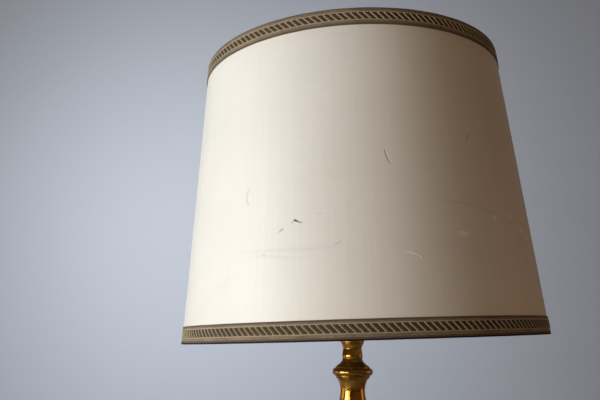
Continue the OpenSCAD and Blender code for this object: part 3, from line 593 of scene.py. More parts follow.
def ribbed_finish(name, colour, dark, ribs, picks, roughness):
    """Woven band: v crosses its ribs and u its picks. Over and under make a small checker of
    light and dark, with some threads worn thin."""
    f = Finish(name, Specular_IOR_Level=0.25, Sheen_Weight=0.08, Sheen_Roughness=0.4)
    u, v = f.cloth()
    wander = f.weave(u * (picks * 0.35), v * (ribs * 0.7), 0.0, 3.0)
    rib = (v * (ribs * TAU) + (wander - 0.5) * 1.5).sine() * 0.5 + 0.5
    pick = (u * (picks * TAU) + (v * ribs).whole() * math.pi + (wander - 0.5) * 2.0).sine() * 0.5 + 0.5
    cloud = f.noise(f.place(), 40.0, 4.0, 0.6)
    light = f.step(rib * 0.45 + pick * 0.35 + (wander - 0.5) * 0.7 + (cloud - 0.5) * 0.7, 0.05, 0.75)
    f.set(Base_Color=f.mix(light, dark, colour), Roughness=roughness + (1.0 - light) * 0.15)
    f.bump(rib * 0.5 + pick * 0.5 + wander * 0.4, 0.00016, 0.8)
    return f


def glass_finish(name, colour, roughness, alpha, specks=0.0):
    """Bulb glass: mostly a thin clear or milky film, a little thicker in clouds."""
    f = Finish(name, Specular_IOR_Level=0.6, IOR=1.45, Base_Color=colour)
    cloud = f.noise(f.place(), 30.0, 3.0, 0.6)
    dust = f.step(f.noise(f.place(), 500.0, 2.0, 0.6), 0.62, 0.75)
    f.set(Alpha=alpha + (cloud - 0.5) * 0.12 + dust * specks, Roughness=roughness + (cloud - 0.5) * 0.05)
    return f


aged = brass_finish("aged_brass", (0.58, 0.30, 0.052), (0.28, 0.105, 0.022), (0.05, 0.016, 0.006),
                    roughness=0.10)
bright = brass_finish("bright_brass", (0.82, 0.60, 0.28), (0.58, 0.37, 0.14), (0.18, 0.09, 0.03),
                      pits=0.25, roughness=0.2, patina_and_shade_share=0.5)
satin = satin_finish()
zinc = plated_finish("zinc_plate", (0.62, 0.60, 0.56), (0.36, 0.33, 0.28), 0.3)
nickel = plated_finish("nickel_plate", (0.74, 0.73, 0.69), (0.5, 0.47, 0.4), 0.22)
tungsten = plated_finish("tungsten_wire", (0.32, 0.31, 0.30), (0.15, 0.14, 0.14), 0.35)
lacquer = moulded_finish("cream_lacquer", (0.66, 0.60, 0.46), (0.42, 0.30, 0.16), 0.32, 0.25)
resin = moulded_finish("black_resin", (0.018, 0.015, 0.013), (0.045, 0.032, 0.024), 0.26, 0.1)
rubbery = moulded_finish("black_bushing", (0.022, 0.021, 0.02), (0.05, 0.048, 0.045), 0.55, 0.15)
porcelain = moulded_finish("white_block", (0.72, 0.70, 0.64), (0.5, 0.46, 0.38), 0.45, 0.2)
glaze = moulded_finish("black_glass", (0.012, 0.010, 0.010), (0.03, 0.02, 0.018), 0.1, 0.05)
brown_lead = moulded_finish("brown_lead", (0.16, 0.075, 0.035), (0.09, 0.045, 0.022), 0.5, 0.2)
blue_lead = moulded_finish("blue_lead", (0.035, 0.09, 0.22), (0.02, 0.05, 0.12), 0.5, 0.2)
laminate = moulded_finish("liner_laminate", (0.80, 0.75, 0.64), (0.66, 0.58, 0.44), 0.42, 0.12, 300.0)
felt = fibre_finish("green_felt", (0.055, 0.085, 0.05), (0.015, 0.025, 0.014))
board = fibre_finish("fibre_board", (0.20, 0.14, 0.09), (0.09, 0.06, 0.035), 0.6, 0.0002)
paper = fibre_finish("fibre_paper", (0.23, 0.13, 0.065), (0.12, 0.065, 0.03), 0.8, 0.0001, 0.6)
iron = fibre_finish("cast_iron", (0.065, 0.062, 0.06), (0.02, 0.018, 0.017), 0.5, 0.0006, 0.75)
cotton = ribbed_finish("cotton_tape", (0.80, 0.75, 0.64), (0.50, 0.44, 0.34), 16.0, 620.0, 0.8)
gold_band = ribbed_finish("gold_weave", (0.385, 0.295, 0.165), (0.075, 0.045, 0.027), 22.0, 980.0, 0.6)
dark_bar = thread_finish("brown_gimp", (0.125, 0.082, 0.042), (0.034, 0.018, 0.010), 1.0, 0.62, 5.0)
gold_cord = thread_finish("gold_cord", (0.60, 0.51, 0.34), (0.30, 0.225, 0.13), 700.0, 0.42)
gold_slip = thread_finish("gold_slip", (0.64, 0.55, 0.37), (0.46, 0.375, 0.235), 7.0, 0.5)
edge_cord = thread_finish("purple_brown_edge", (0.235, 0.165, 0.135), (0.06, 0.034, 0.028), 900.0, 0.6)
# Near-black cord colour: painted shadow under the braid's curled bottom edge.
shadow_rim_cord = thread_finish("painted_shadow_rim", (0.040, 0.024, 0.014), (0.012, 0.007, 0.005), 900.0, 0.85)
frosted = glass_finish("frosted_glass", (0.93, 0.92, 0.88), 0.35, 0.72, 0.1)
clear = glass_finish("clear_glass", (0.85, 0.88, 0.86), 0.08, 0.30)


# ---- camera -----------------------------------------------------------------------------

def place_camera():
    """The camera stands in front, a little above the shade's bottom rim, and looks up at it."""
    data = bpy.data.cameras.new("camera")
    data.sensor_width, data.lens, data.clip_start, data.clip_end = 36.0, CAMERA_LENS, 0.01, 30.0
    camera = bpy.data.objects.new("camera", data)
    link(camera)
    aim = (Matrix.Rotation(CAMERA_TURN, 4, "Z") @ Matrix.Rotation(math.pi / 2 + CAMERA_PITCH, 4, "X")
           @ Matrix.Rotation(CAMERA_ROLL, 4, "Z"))
    camera.matrix_world = Matrix.Translation(CAMERA_AT) @ aim
    bpy.context.scene.camera = camera


place_camera()


# ---- stand ------------------------------------------------------------------------------

def base_shoulder():
    """Hollow slope from the base's plinth up to its flat top."""
    r, low = BASE_D / 2 - 3, 22.6
    rise = BASE_H - 2.6 - low
    return smooth([(r - 2.4, low), (r - 9, low + 0.155 * rise),
                   ((r + FOOT_D / 2) / 2 + 1, low + 0.44 * rise),
                   (FOOT_D / 2 + 6, low + 0.77 * rise), (FOOT_D / 2 + 4, low + rise)])


def base_outline():
    """Base plate: upright edge, plinth, bead, hollow shoulder and flat top, with its wall."""
    r = BASE_D / 2
    outside = line((r, 2), (r, 5.2), smooth([(r, 5.4), (r - 0.5, 6.7), (r - 1.6, 7.4)], 6),
                   (r - 3, 7.6), (r - 3, 20), bead(r - 3.6, 20.3, 22.3, 0.9), base_shoulder(),
                   (FOOT_D / 2 + 2.4, BASE_H - 2.4), (FOOT_D / 2 + 2.4, BASE_H))
    under = inset(base_shoulder(), WALL)
    under = under[(under[:, 1] < BASE_H - 3.4) & (under[:, 1] > 20)]
    inside = line((BORE_R, BASE_H), (BORE_R, BASE_H - 3), (FOOT_D / 2 + 1, BASE_H - 3), under[::-1],
                  (r - 3 - WALL, 19.5), (r - 3 - WALL, 7.6), (r - WALL, 5.6), (r - WALL, 2))
    return line(outside, inside)


def foot_sweep():
    """Trumpet from the foot's rim up to its waist."""
    r, waist = FOOT_D / 2, 12.5
    spread, h = r - waist, FOOT_H
    return smooth([(r - 1.6, 4.4), (waist + 0.71 * spread, 9), (waist + 0.436 * spread, 0.217 * h),
                   (waist + 0.215 * spread, 0.39 * h), (waist + 0.07 * spread, 0.63 * h),
                   (waist, h - 16), (waist + 0.4, h - 7)])


def foot_outline():
    """Foot: rim bead, trumpet and collar bead, with the hollow under the trumpet."""
    sweep = foot_sweep()
    under = inset(sweep, WALL)
    under = under[(under[:, 1] > 0) & (under[:, 1] < FOOT_H - 12)]
    return raised(line(bead(FOOT_D / 2 - 0.6, 0, 3.6, 1.6), sweep,
                       bead(13.4, FOOT_H - 6.6, FOOT_H - 2.6, 2.2), (13.2, FOOT_H - 2.4),
                       (13.2, FOOT_H), (BORE_R, FOOT_H), (BORE_R, FOOT_H - 12),
                       under[::-1], (FOOT_D / 2 - WALL - 1.6, 0)), BASE_H)


def knop_outline():
    """Knop: a fat half-round between two thin beads."""
    return raised(line((13.2, 0), (13.2, 1.2), bead(13.6, 1.3, 4.1, 1.7),
                       bead(14.2, 4.3, KNOP_H - 4.3, KNOP_D / 2 - 14.2, 32),
                       bead(13.6, KNOP_H - 4.1, KNOP_H - 1.3, 1.7), (13.2, KNOP_H - 1.2),
                       (13.2, KNOP_H), (BORE_R, KNOP_H), (BORE_R, 0)), KNOP_Z)


def vase_outline():
    """Vase: a bead, a pear that thins upwards and a flare below the neck."""
    r, h, low = VASE_D / 2, VASE_H, 6.2
    rise = h - 33 - low
    pear = smooth([(14.6, low), (19.5, low + 0.035 * rise), (0.78 * r, low + 0.123 * rise),
                   (0.957 * r, low + 0.247 * rise), (r, low + 0.372 * rise),
                   (0.935 * r, low + 0.523 * rise), (0.757 * r, low + 0.703 * rise),
                   (0.55 * r, low + 0.869 * rise), (15.9, h - 33), (13.1, h - 21),
                   (11.95, h - 14)], 14)
    return raised(line((13.2, 0), (13.2, 0.8), bead(13.6, 1, 5.6, 2.4), pear,
                       smooth([(11.95, h - 14), (12.25, h - 9.5), (13.6, h - 4.6), (15.1, h - 2.2),
                               (16.5, h - 0.9)]), (16.7, h), (BORE_R, h), (BORE_R, 0)), VASE_Z)


def neck_outline():
    """Neck: collar bead, a sweep in to the small bead and a flare out to the top."""
    h, r, b = NECK_H, COLLAR_D / 2, BEAD_D / 2
    return raised(line((r - 3.1, 0), (r - 2.4, 0.9), bead(r - 3.1, 1.4, 8.2, 3.1, 28), (r - 3.4, 8.6),
                       (r - 3.3, 9.4), smooth([(r - 3.6, 9.5), (15.2, 10.6), (12.6, 12.6), (10.6, 14.9),
                                               (9.55, 17.2)]),
                       smooth([(9.6, h - 14.6), (b, h - 11.8), (9.5, h - 7.6), (9.05, h - 5.3),
                               (9.5, h - 3.4), (10.3, h - 1.4)]),
                       (10.9, h - 0.8), (10.9, h), (BORE_R, h), (BORE_R, 0)), NECK_Z)


def ring_outline():
    """Check ring: one half-round with the pipe's bore."""
    return raised(line(bead(10.6, 0, 3, 1.1), (BORE_R, 3), (BORE_R, 0)), STAND_H)


def turned_piece(name, node, outline, body, finish, slot, step, edge, around, waves=0.0, seed=1,
                 dull=0.0, **more):
    """A piece turned from its outline, with its corners worn. The mark is its hollows, where a cloth
    misses the patina, and, by the share dull, what faces up: upward faces are darkened there as
    painted shade, the dark reflections they catch."""
    shape = worn(outline, step, edge)
    shape[:, 1] = np.clip(shape[:, 1], np.min(outline[:, 1]), np.max(outline[:, 1]))
    mark = np.maximum(grooves(shape, True, step), dull * facing_up(shape))
    piece = Piece().add(turned(shape, around, waves, seed, **more), mark=mark[None, :])
    return piece.build(name, body, finish, node, slot, 40.0)


# The last column, dull, is the share of painted shade on upward faces, standing for the dark reflections
# they catch under the shade.
for name, node, outline, step, edge, around, waves, seed, dull in (
        ("base_turned", "base_plate", base_outline(), 0.8, 0.5, 220, 0.10, 3, 0.35),
        ("foot_turned", "stem_foot", foot_outline(), 0.7, 0.4, 160, 0.09, 5, 0.4),
        ("knop_turned", "stem_knop", knop_outline(), 0.4, 0.3, 180, 0.07, 7, 0.45),
        ("vase_turned", "stem_vase", vase_outline(), 1.1, 0.5, 160, 0.11, 9, 0.45),
        ("neck_turned", "stem_neck", neck_outline(), 0.3, 0.3, 180, 0.07, 11, 0.62),
        ("check_ring_turned", "check_ring", ring_outline(), 0.25, 0.2, 140, 0.04, 13, 0.0)):
    turned_piece(name, node, outline, "stand", aged, "aged_brass", step, edge, around, waves, seed, dull)


# ---- shade ------------------------------------------------------------------------------

def wrapped_sheet(name, finish, node, slot, out, thick, gap, lap, step):
    """Sheet wound once round the shade's cone from gap above the bottom rim to gap below the top
    one. Its radius is the cone's, plus out, plus slow dents that are sums of sines and fade at the
    rims, plus a step that rises where the end lies over the start at the back. Its section is
    both faces joined at the rims, and its two ends are drawn together to the middle of the sheet.
    """
    turn = lap / SHADE_BOTTOM_R
    start = math.pi / 2 - turn / 2
    a = start + np.linspace(0, TAU + turn, 361)[:, None]
    h = np.linspace(gap, SHADE_H - gap, 57)[None]
    over = np.clip((a - start - TAU + turn * 0.9) / (turn * 0.9), 0, 1)
    rng = np.random.default_rng(5)
    wave = np.zeros((a.size, h.size))
    for _ in range(6):
        n = rng.integers(2, 7)
        wave += np.sin(n * a + rng.uniform(0, TAU) + h / 277 * rng.uniform(-2.5, 2.5))
    calm = np.sin(h / SHADE_H * math.pi)
    r = shade_r(h) + out + SATIN_DENT * wave / 4 * calm + step * over * over * (3 - 2 * over)
    faces = np.concatenate([round_z(r, a, h), round_z(r - thick, a, h)[:, ::-1]], 1)
    ends = (faces[[0, -1]] + faces[[0, -1], ::-1]) / 2
    grid = np.concatenate([ends[:1], faces, ends[1:]])
    v = h[0] / SHADE_H
    uv = strip_map(360, np.r_[v, v[::-1], v[:1]])
    uv = np.concatenate([uv[:1], uv, uv[-1:]])
    sheet = Piece().add(in_shade(grid), (False, True), uv)
    return sheet.build(name, "shade", finish, node, slot, 60)


cover = wrapped_sheet("satin_cover", satin, "shade_cover", "satin", 0.0, 0.4, 0.2, 12.0, 0.42)
wrapped_sheet("shade_lining", laminate, "shade_liner", "liner", -0.47, 0.55, 0.3, 14.0, -0.5)


# ---- braid ------------------------------------------------------------------------------

def on_cone(a, h, out):
    """Point at angle a, height h, standing out from the cover's face."""
    return round_z(shade_r(h) + out, a, h)


def braid(h_in, middle, count, seed, edging, dark):
    """Woven braid round one rim, 16 wide, made of a ribbed gold band, edging cords at the heights
    edging (those also in dark are near black: painted shadow where the braid's edge curls under),
    two gold cords, and between these count slanting padded bars round the middle, with a thin gold
    slip between each two. The band is carried once round the cone, sunk under the bars; a cord is
    the ring (r sin b, lift + r cos b) round the cone; a bar is a slanting pad (s = -lean t + half
    cos b, out = lift + high sin b) that narrows at its ends."""
    rng = np.random.default_rng(seed)
    piece = Piece()
    a = whole_turn(480)[:, None]
    w = np.linspace(0, BRAID_W, 41)
    top = 0.58 - 0.26 * (np.abs(w - middle) < 3.5)
    top = np.minimum(top, 0.12 + 0.5 * np.sqrt(np.clip(np.minimum(w, BRAID_W - w), 0, 1)))
    wander = 0.03 * np.sin(a * 23) + 0.024 * np.sin(a * 41 + 1.0)
    outer = on_cone(a, h_in + w[None], top[None] + wander)
    inner = on_cone(a, h_in + w[None], np.full((1, w.size), 0.06))
    v = np.r_[w / BRAID_W, w[::-8] / BRAID_W, 0]
    piece.add(in_shade(np.concatenate([outer, inner[:, ::-8]], 1)), uv=strip_map(a.size, v))
    fine, b = whole_turn(960)[:, None], whole_turn(5)[None]
    # Cords at the heights in dark take slot 5, the near-black painted shadow under the curled edge.
    rows = [(up, 0.36, 5 if up in dark else 3, 0.30 + 0.24 * min(up, BRAID_W - up, 1.0))
            for up in edging]
    rows += [(middle - 3.75, 0.42, 1, 0.64), (middle + 3.75, 0.42, 1, 0.64)]
    for up, r, slot, lift in rows:
        sway = 0.05 * np.sin(fine * 31 + up)
        grid = on_cone(fine, h_in + up + sway + r * np.sin(b), lift + r * np.cos(b))
        piece.add(in_shade(grid), uv=strip_map(fine.size, np.linspace(0, 1, b.size + 1)), slot=slot)
    pitch = TAU / count
    t = np.array([-1.0, -0.94, -0.72, -0.25, 0.25, 0.72, 0.94, 1.0])[:, None]
    ring = whole_turn(7)[None]
    bend = np.sin(t * math.pi / 2) * 0.45 + t * 0.55
    swell = np.clip(1 - t ** 10, 0, 1) ** 0.5
    for k in range(count):
        mid = (k + 0.5 + rng.normal(0, 0.012)) * pitch
        lean = 3.0 + rng.normal(0, 0.10)
        bar = (1.88 + rng.normal(0, 0.06), 0.52, 0.46, 2, mid)
        slip = (0.50, 0.46, 0.64, 4, mid + pitch / 2)
        for half, high, lift, slot, centre in (bar, slip):
            s = -lean * bend + half * swell * np.cos(ring)
            grid = on_cone(centre + s / shade_r(h_in + middle), h_in + middle + BRAID_BAR_HALF * t,
                           lift + high * swell * np.sin(ring))
            piece.add(in_shade(grid), (False, True), slot=slot)
    return piece


BRAID_PARTS = [gold_band, gold_cord, dark_bar, edge_cord, gold_slip, shadow_rim_cord]
# Bottom braid: its two lowest cords are painted shadow under the curled edge, and its purple-brown edge
# runs two cords wider, partly the real edge colour and partly painted shadow.
braid_low = braid(0.0, 9.1, 189, 21, (0.36, 1.0, 1.66, 2.32, 15.0, 15.64), (0.36, 1.0))
braid_low = braid_low.build("braid_bottom", "shade", BRAID_PARTS, "shade_braid_bottom", "braid", 60)
braid_high = braid(SHADE_H - BRAID_W, 8.35, 162, 22, (0.36, 1.0, 1.66, 15.0, 15.64), ())
braid_high = braid_high.build("braid_top", "shade", BRAID_PARTS, "shade_braid_top", "braid", 60)


# ---- rings, tapes and spider ------------------------------------------------------------

def ring_radius(h):
    """Radius of the wire rings' middle line, inside the lining."""
    return float(shade_r(h)) - 3.05


def wire_ring(name, h):
    """Wire ring: the circle (r + q cos b, h + q sin b) turned round the shade's axis."""
    b = whole_turn(20)
    section = np.stack([ring_radius(h) + RING_WIRE_R * np.cos(b), h + RING_WIRE_R * np.sin(b)], 1)
    ring = Piece().add(in_shade(turned(section, 240, 0.06, 31)))
    return ring.build(name, "shade", lacquer, "shade_" + name, "wire")


wire_ring("top_ring", SHADE_H - RING_H)
wire_ring("bottom_ring", RING_H)


def tape(name, h, way, seed):
    """Cotton tape: an arc of 145 degrees over the ring and a flat tail on the lining. Round the
    shade it puckers: the tail's thickness and the fold's radius wander by short sines."""
    face = float(shade_r(h)) - 1.10
    r = face - 1.95
    arc = np.radians(np.linspace(0, 145, 18))
    tail_r = float(shade_r(h + way * TAPE_TAIL)) - 1.10
    rise = np.linspace(0, 1, 12)[1:]
    near, far = (np.stack([start + (tail_r - face) * rise, h + way * TAPE_TAIL * rise], 1)
                 for start in (face - 0.4, face))
    outside, inside = (np.stack([r + q * np.cos(arc), h - way * q * np.sin(arc)], 1)
                       for q in (1.95, 1.56))
    shape = even(line(outside[::-1], far, near[::-1], inside), 0.5, True)
    a = whole_turn(720)[:, None]
    rng = np.random.default_rng(seed)
    pucker = sum(np.sin(a * n + rng.uniform(0, TAU)) for n in rng.integers(60, 170, 5)) / 5
    from_ring = np.abs(shape[None, :, 1] - h)
    radius = shape[None, :, 0] - 0.10 * (1 - np.abs(pucker)) * np.clip((from_ring - 1.5) / 3.0, 0, 1)
    lift = shape[None, :, 1] + way * 0.22 * pucker * np.clip((from_ring - 8) / 4, 0, 1)
    far_round = lengths(shape)
    uv = strip_map(720, np.r_[far_round / far_round[-1], 1.0])
    piece = Piece().add(in_shade(round_z(radius, a, lift)), uv=uv)
    return piece.build(name, "shade", cotton, "shade_" + name, "tape", 60)


tape("tape_bottom", RING_H, 1, 41)
tape("tape_top", SHADE_H - RING_H, -1, 42)


def blob(at, radii):
    """Weld bead: an ellipsoid (a cos p cos q, b cos p sin q, c sin p) with a knobbly surface."""
    p, q = np.linspace(-math.pi / 2, math.pi / 2, 9)[:, None], whole_turn(16)[None]
    knob = (1 + 0.10 * np.sin(3 * q + 5 * p) * np.cos(p)) * np.cos(p)
    ball = (radii[0] * np.cos(q) * knob, radii[1] * np.sin(q) * knob, radii[2] * np.sin(p))
    return np.stack(np.broadcast_arrays(*ball), -1) + np.asarray(at)


def turned_about(grid, angle):
    """Grid turned round the z axis."""
    c, s = math.cos(angle), math.sin(angle)
    return np.stack([grid[..., 0] * c - grid[..., 1] * s, grid[..., 0] * s + grid[..., 1] * c,
                     grid[..., 2]], -1)


def spider():
    """Washer with three wire arms that run out level, bend up and are welded to the top ring."""
    piece = Piece()
    seat, thick, arm = SEAT_Z - SHADE_Z, 1.2, 1.3
    washer = worn(line((5.5, seat - thick / 2), (14, seat - thick / 2), (14, seat + thick / 2),
                       (5.5, seat + thick / 2)), 0.25, 0.15)
    piece.add(in_shade(turned(washer, 96)))
    h = SHADE_H - RING_H
    arm_h = seat + thick / 2 + arm - 0.1
    rise, bend_r = math.radians(30), 12.0
    slope = (h - arm_h - bend_r * (1 - math.cos(rise))) / math.sin(rise)
    level = ring_radius(h) - 10.4 - bend_r * math.sin(rise) - slope * math.cos(rise)
    path = bent((10.4, arm_h), 0, [(level, 0), (30, bend_r), (slope - 1.1, 0)], 2.0)
    parts = [tube(path, arm, 14), blob((11.6, 0, arm_h - 0.7), (2.4, 1.9, 0.9)),
             blob((ring_radius(h) - 1.2, 0, h - 0.6), (1.5, 2.3, 1.6))]
    for angle in (90, 210, 330):
        for part in parts:
            piece.add(in_shade(turned_about(part, math.radians(angle))), (False, True))
    return piece.build("spider", "shade", lacquer, "shade_spider", "wire")


spider()


# ---- harp -------------------------------------------------------------------------------

def saddle():
    """Stamped saddle: a disc round the pipe, two strips and two upright tabs with shoulders."""
    piece = Piece()
    disc = line((5.15, SADDLE_Z), (9.5, SADDLE_Z), (9.5, SADDLE_TOP), (5.15, SADDLE_TOP))
    piece.add(turned(worn(disc, 0.25, 0.15), 72))
    for side in (-1, 1):
        for near, far, half, bottom, top in ((8.2, 25.95, STRAP_HALF, SADDLE_Z, SADDLE_TOP),
                                             (24.45, 25.95, STRAP_HALF, SADDLE_Z + 0.4, 394),
                                             (24.45, 25.95, 4.4, SADDLE_Z, 384)):
            low, high = sorted((side * near, side * far))
            piece.add(box((low, -half, bottom), (high, half, top)), (False, True))
    return piece.build("saddle", "stand", aged, "harp_saddle", "aged_brass")


saddle()


def harp():
    """Harp bow: on each side a wire goes up from its flat foot, leans out by 28 degrees, comes back
    by a long arc of 33 and closes on the bush by a tight arc of 85. The two radii solve
    R1 (sin h1 - sin h0) - R2 sin h1 = gx and R1 (cos h0 - cos h1) + R2 (cos h1 + 1) = gz."""
    piece = Piece()
    start, straight, small = 394.2, 18.2, 20.0
    h0, h1, lean = math.radians(62), math.radians(95), math.radians(28)
    gx = 3.6 - LEG_X - small * (1 - math.cos(lean))
    gz = BOW_Z - start - straight - small * math.sin(lean)
    across = [math.sin(h1) - math.sin(h0), -math.sin(h1)]
    upward = [math.cos(h0) - math.cos(h1), math.cos(h1) + 1]
    side_r, top_r = np.linalg.solve([across, upward], [gx, gz])
    path = bent((LEG_X, start), 90, [(straight, 0), (-28, small), (33, side_r), (85, top_r)], 1.6)
    for side in (-1, 1):
        piece.add(tube(path * [side, 1, 1], 1.6, 16), (False, True))
        low, high = sorted((side * 26.05, side * 27.55))
        piece.add(box((low, -STRAP_HALF, 384.4), (high, STRAP_HALF, 395.6)), (False, True))
    bush = worn(line((2.16, 626.35), (4.2, 626.35), (4.2, 633.35), (2.16, 633.35)), 0.25, 0.2)
    piece.add(turned(bush, 64))
    return piece.build("harp_wire", "stand", bright, "harp_bow", "bright_brass")


harp()


def threaded(depth, pitch, above=-1e9, below=1e9):
    """Screw thread for turned(): r - depth (1 - cos(2 pi z / pitch - a)) / 2 between two heights."""
    def cut(r, a, z):
        here = np.clip((z - above) / pitch, 0, 1) * np.clip((below - z) / pitch, 0, 1)
        return r - depth * here * (0.5 - 0.5 * np.cos(TAU * z / pitch - a))
    return cut


ferrule = line((4.3, 0), bead(3.8, 0.4, 2, 0.8), (3.7, 2.4), (3.5, 12), bead(3.4, 12.2, 13.6, 0.7),
               (3.5, 14), (3.15, 14), (3.15, 0))
for side, name in ((-1, "ferrule_left"), (1, "ferrule_right")):
    turned_piece(name + "_turned", "harp_" + name, ferrule, name, aged, "aged_brass", 0.25, 0.12,
                 64, 0.02, 50 + side, at=(side * LEG_X, 0, 384.2))
stud_line = line((0.0, 624.45), (3.3, 624.45), (3.6, 624.75), (3.6, 626.25), (2.1, 626.25),
                 (2.1, 633.45), (7.7, 633.45), (8, 633.75), (8, 634.75), (7.7, 635.05),
                 (3.1, 635.05), (3.1, 648.4), (2.6, 649), (0.0, 649))
thread = threaded(0.35, 0.9, 635.4, 648.6)
stud = Piece().add(turned(even(stud_line, 0.2), 64, flutes=thread), (True, False))
stud.build("stud", "swivel", bright, "harp_stud", "bright_brass")

ball = np.radians(-60 + 15 * np.arange(0, 11))
ball = np.stack([FINIAL_BALL_R * np.cos(ball), FINIAL_H + FINIAL_BALL_R * (np.sin(ball) - 1)], 1)
urn = [(4.9, 8.4), (8.1, 11.2), (9.1, 15), (7.4, FINIAL_H - 11), (4.4, FINIAL_H - 8.2)]
finial_line = line((8, 0), (8, 0.8), bead(7.6, 0.9, 2.7, 0.8),
                   smooth([(6.4, 3), (4.8, 4.6), (4.6, 6.2)]), bead(4.9, 6.4, 8.2, 1.2),
                   smooth(urn), bead(3.6, FINIAL_H - 8, FINIAL_H - 6.4, 1.2), ball)
finial_line = np.maximum(even(line(finial_line, (0, FINIAL_H)), 0.25), [0, 0])
finial_line = even(line((0.0, 13.6), (3.16, 13.6), (3.16, 0.0), finial_line), 0.25)
finial = Piece().add(turned(raised(blurred(finial_line, 0.8, False), FINIAL_Z), 96), (True, False),
                     mark=grooves(finial_line, False, 0.25)[None, :])
finial.build("finial_turned", "finial", aged, "finial", "aged_brass")


# ---- lampholder and key -----------------------------------------------------------------

dome = smooth([(8.7, 6), (12.7, 8), (15.9, 12.5), (17.25, 15)], 8)
inner = inset(dome, 0.8)
inner = inner[inner[:, 1] > 6.4]
cap_line = line((8.5, 0), (8.5, 6), dome, (17.25, 23), (16.45, 23), (16.45, 15), inner[::-1],
                (8.1, 6.6), (5.05, 6), (5.05, 0))
turned_piece("socket_cap_turned", "socket_cap", raised(cap_line, CAP_Z), "stand", aged,
             "aged_brass", 0.25, 0.2, 120, 0.03, 61)
shell_line = line((13.35, 411.1), (13.35, 433.1), (13.75, 433.1), (13.75, 411.1))
turned_piece("screw_shell", "socket_screw_shell", shell_line, "stand", bright, "bright_brass",
             0.3, 0.1, 96)


def knob_flutes(r, a, z):
    """Fifteen hollows along the key's knob: r - 0.55 max(0, cos 15 a), fading at the ends."""
    run = np.clip((z - 22.6) / 1.2, 0, 1) * np.clip(r - 4.4, 0, 1)
    return r - 0.55 * run * np.maximum(0, np.cos(15 * a)) ** 1.5


knob_line = line((1.54, 20.3), (4.4, 20.3), (5.0, 21.6), (6.5, 22.5), (6.5, 31.2), (5.9, 32.1),
                 (0.0, 32.3))
knob_line = even(line((0.0, 27.5), (1.54, 27.5), knob_line), 0.25)
key = Piece().add(turned(blurred(knob_line, 0.9, False), 180, axis="-y", at=(0, 0, KEY_Z),
                         flutes=knob_flutes), (True, False))
key.build("key_knob", "switch_key", resin, "switch_knob", "black_plastic")


# ---- base parts that show from below or behind ------------------------------------------

felt_line = line((0, 0.05), (76.0, 0.05), (76.5, 0.5), (76.5, 1.6), (76.1, 1.95), (0, 1.95))
felt_disc = Piece().add(turned(even(felt_line, 0.8), 240, 0.05, 71), (True, False))
felt_disc = felt_disc.build("felt_disc", "stand", felt, "felt_pad", "felt")
bush_line = line((3.6, 70.5), (5.4, 70.5), (5.4, 72.0), (4.8, 72.0), (4.8, 74.7), (6.3, 74.7),
                 (6.3, 75.6), (5.2, 76.7), (3.6, 76.7))
turned_piece("inlet_bushing", "cord_bushing", bush_line, "stand", rubbery, "black_plastic",
             0.2, 0.18, 96, axis="+y", at=(0, 0, 14.0))


# ---- bulb -------------------------------------------------------------------------------

top = BULB_Z + BULB_L
round_top = np.radians(np.arange(0, 91, 5))
round_top = np.stack([BULB_R * np.cos(round_top), top + BULB_R * (np.sin(round_top) - 1)], 1)
flank = smooth([(12.2, GLASS_Z + 8), (14, GLASS_Z + 17), (BULB_R - 6.5, top - BULB_R - 18),
                (BULB_R - 1.4, top - BULB_R - 8)])
glass_line = line((12.2, GLASS_Z), flank, round_top)
glass_line[-1, 0] = 0.0
glass_line = even(glass_line, 1.2)
glass_in = inset(glass_line, GLASS_WALL)
glass_in = glass_in[(glass_in[:, 0] > 0.4) & (glass_in[:, 1] > GLASS_Z)]
glass_in = line((11.6, GLASS_Z), glass_in, (0.0, top - GLASS_WALL))
bulb = Piece().add(turned(line(glass_in[::-1], glass_line), 128), (True, False))
bulb.build("bulb_globe", "bulb", frosted, "bulb_glass", "frosted_glass", 50)
base_line = line((9.05, 418.3), (12.25, 418.3), (13.05, 420.3), (13.05, 436.3), (12.85, 438.3),
                 (12.3, 438.3), (12.3, 419.3), (9.05, 419.3))


def bulb_thread(r, a, z):
    """The thread on the base's outer wall only."""
    return np.where(r > 12.4, threaded(0.62, 3.6, 419.8, 436.6)(r, a, z), r)


turned_piece("bulb_thread", "bulb_base", base_line, "bulb", nickel, "nickel", 0.3, 0.2, 96,
             flutes=bulb_thread)


# ---- pieces kept from the CAD, with their finishes --------------------------------------

KEPT = {
    "base_cover": board, "base_weight": iron, "terminal_block": porcelain,
    "terminal_block_screws": zinc, "pipe_nut": zinc, "pipe_washer": zinc, "stem_pipe": zinc,
    "lead_live": brown_lead, "lead_neutral": blue_lead, "socket_set_screw": zinc,
    "socket_shell": aged, "socket_sleeve": paper, "socket_body": resin, "socket_contact": bright,
    "socket_terminal_screws": zinc, "switch_shaft": zinc, "bulb_insulator": glaze,
    "bulb_contact": nickel, "bulb_mount": clear, "bulb_filament": tungsten,
}
for name, finish in KEPT.items():
    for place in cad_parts[name].material_slots:
        place.material = finish.material
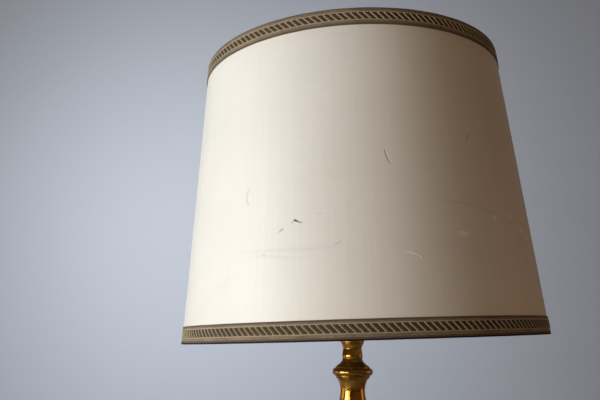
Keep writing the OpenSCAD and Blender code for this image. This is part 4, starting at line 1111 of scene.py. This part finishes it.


# ---- stage and light --------------------------------------------------------------------

def plain_sheet(name, corners, colour, other, rough):
    """A flat four-cornered surface for the floor or the wall, with a faint even mottle."""
    mesh = bpy.data.meshes.new(name)
    mesh.from_pydata(corners, [], [(0, 1, 2, 3)])
    obj = bpy.data.objects.new(name, mesh)
    link(obj)
    f = Finish(name, Roughness=rough, Specular_IOR_Level=0.2)
    f.set(Base_Color=f.mix(f.noise(f.place(), 1.2, 3.0), colour, other))
    mesh.materials.append(f.material)


def round_the_lamp(azimuth, far, z):
    """Point at that angle left of straight in front, that far from the stem."""
    t = math.radians(azimuth)
    return (-far * math.sin(t), -far * math.cos(t), z)


def area_light(name, at, aim, size, power, colour):
    """Rectangular light at one point, turned to another."""
    data = bpy.data.lights.new(name, "AREA")
    data.shape, data.size, data.size_y = "RECTANGLE", size[0], size[1]
    data.energy, data.color = power, colour
    obj = bpy.data.objects.new(name, data)
    obj.location = at
    obj.rotation_euler = (Vector(aim) - Vector(at)).to_track_quat("-Z", "Y").to_euler()
    link(obj)


WALL_Y = 1.6
plain_sheet("floor", [(-4, -4, 0), (4, -4, 0), (4, WALL_Y, 0), (-4, WALL_Y, 0)],
            (0.34, 0.345, 0.37), (0.36, 0.365, 0.39), 0.7)
plain_sheet("wall", [(-4, WALL_Y, 0), (4, WALL_Y, 0), (4, WALL_Y, 4), (-4, WALL_Y, 4)],
            (0.485, 0.53, 0.605), (0.47, 0.515, 0.59), 0.9)
for name, angle, far, z, aim_z, size, power, colour in (
        ("window", 60, 1.3, 0.54, 0.46, (0.54, 0.80), 13.25, (0.87, 0.99, 1.09)),
        ("window_edge", 35, 1.3, 0.42, 0.40, (0.50, 0.6), 3.0, (1.26, 1.0, 0.74)),
        ("far_side", 100, 1.3, 0.30, 0.30, (0.6, 0.6), 0.8, (1.2, 1.0, 0.8)),
        ("warm_side", -100, 1.5, 0.5, 0.5, (0.8, 0.9), 0.9, (1.75, 1.0, 0.5))):
    area_light(name, round_the_lamp(angle, far, z), (0, 0, aim_z), size, power, colour)
area_light("wall_wash", (-0.64, 0.30, 0.78), (-0.6, WALL_Y, 0.78), (0.16, 0.3), 14.0, (1, 1, 1))
world = bpy.data.worlds.new("room")
world.use_nodes = True
surround = world.node_tree.nodes["Background"].inputs
surround["Color"].default_value = (1.0, 0.64, 0.40, 1)
surround["Strength"].default_value = 0.095
bpy.context.scene.world = world
bpy.context.scene.view_settings.view_transform = "Standard"
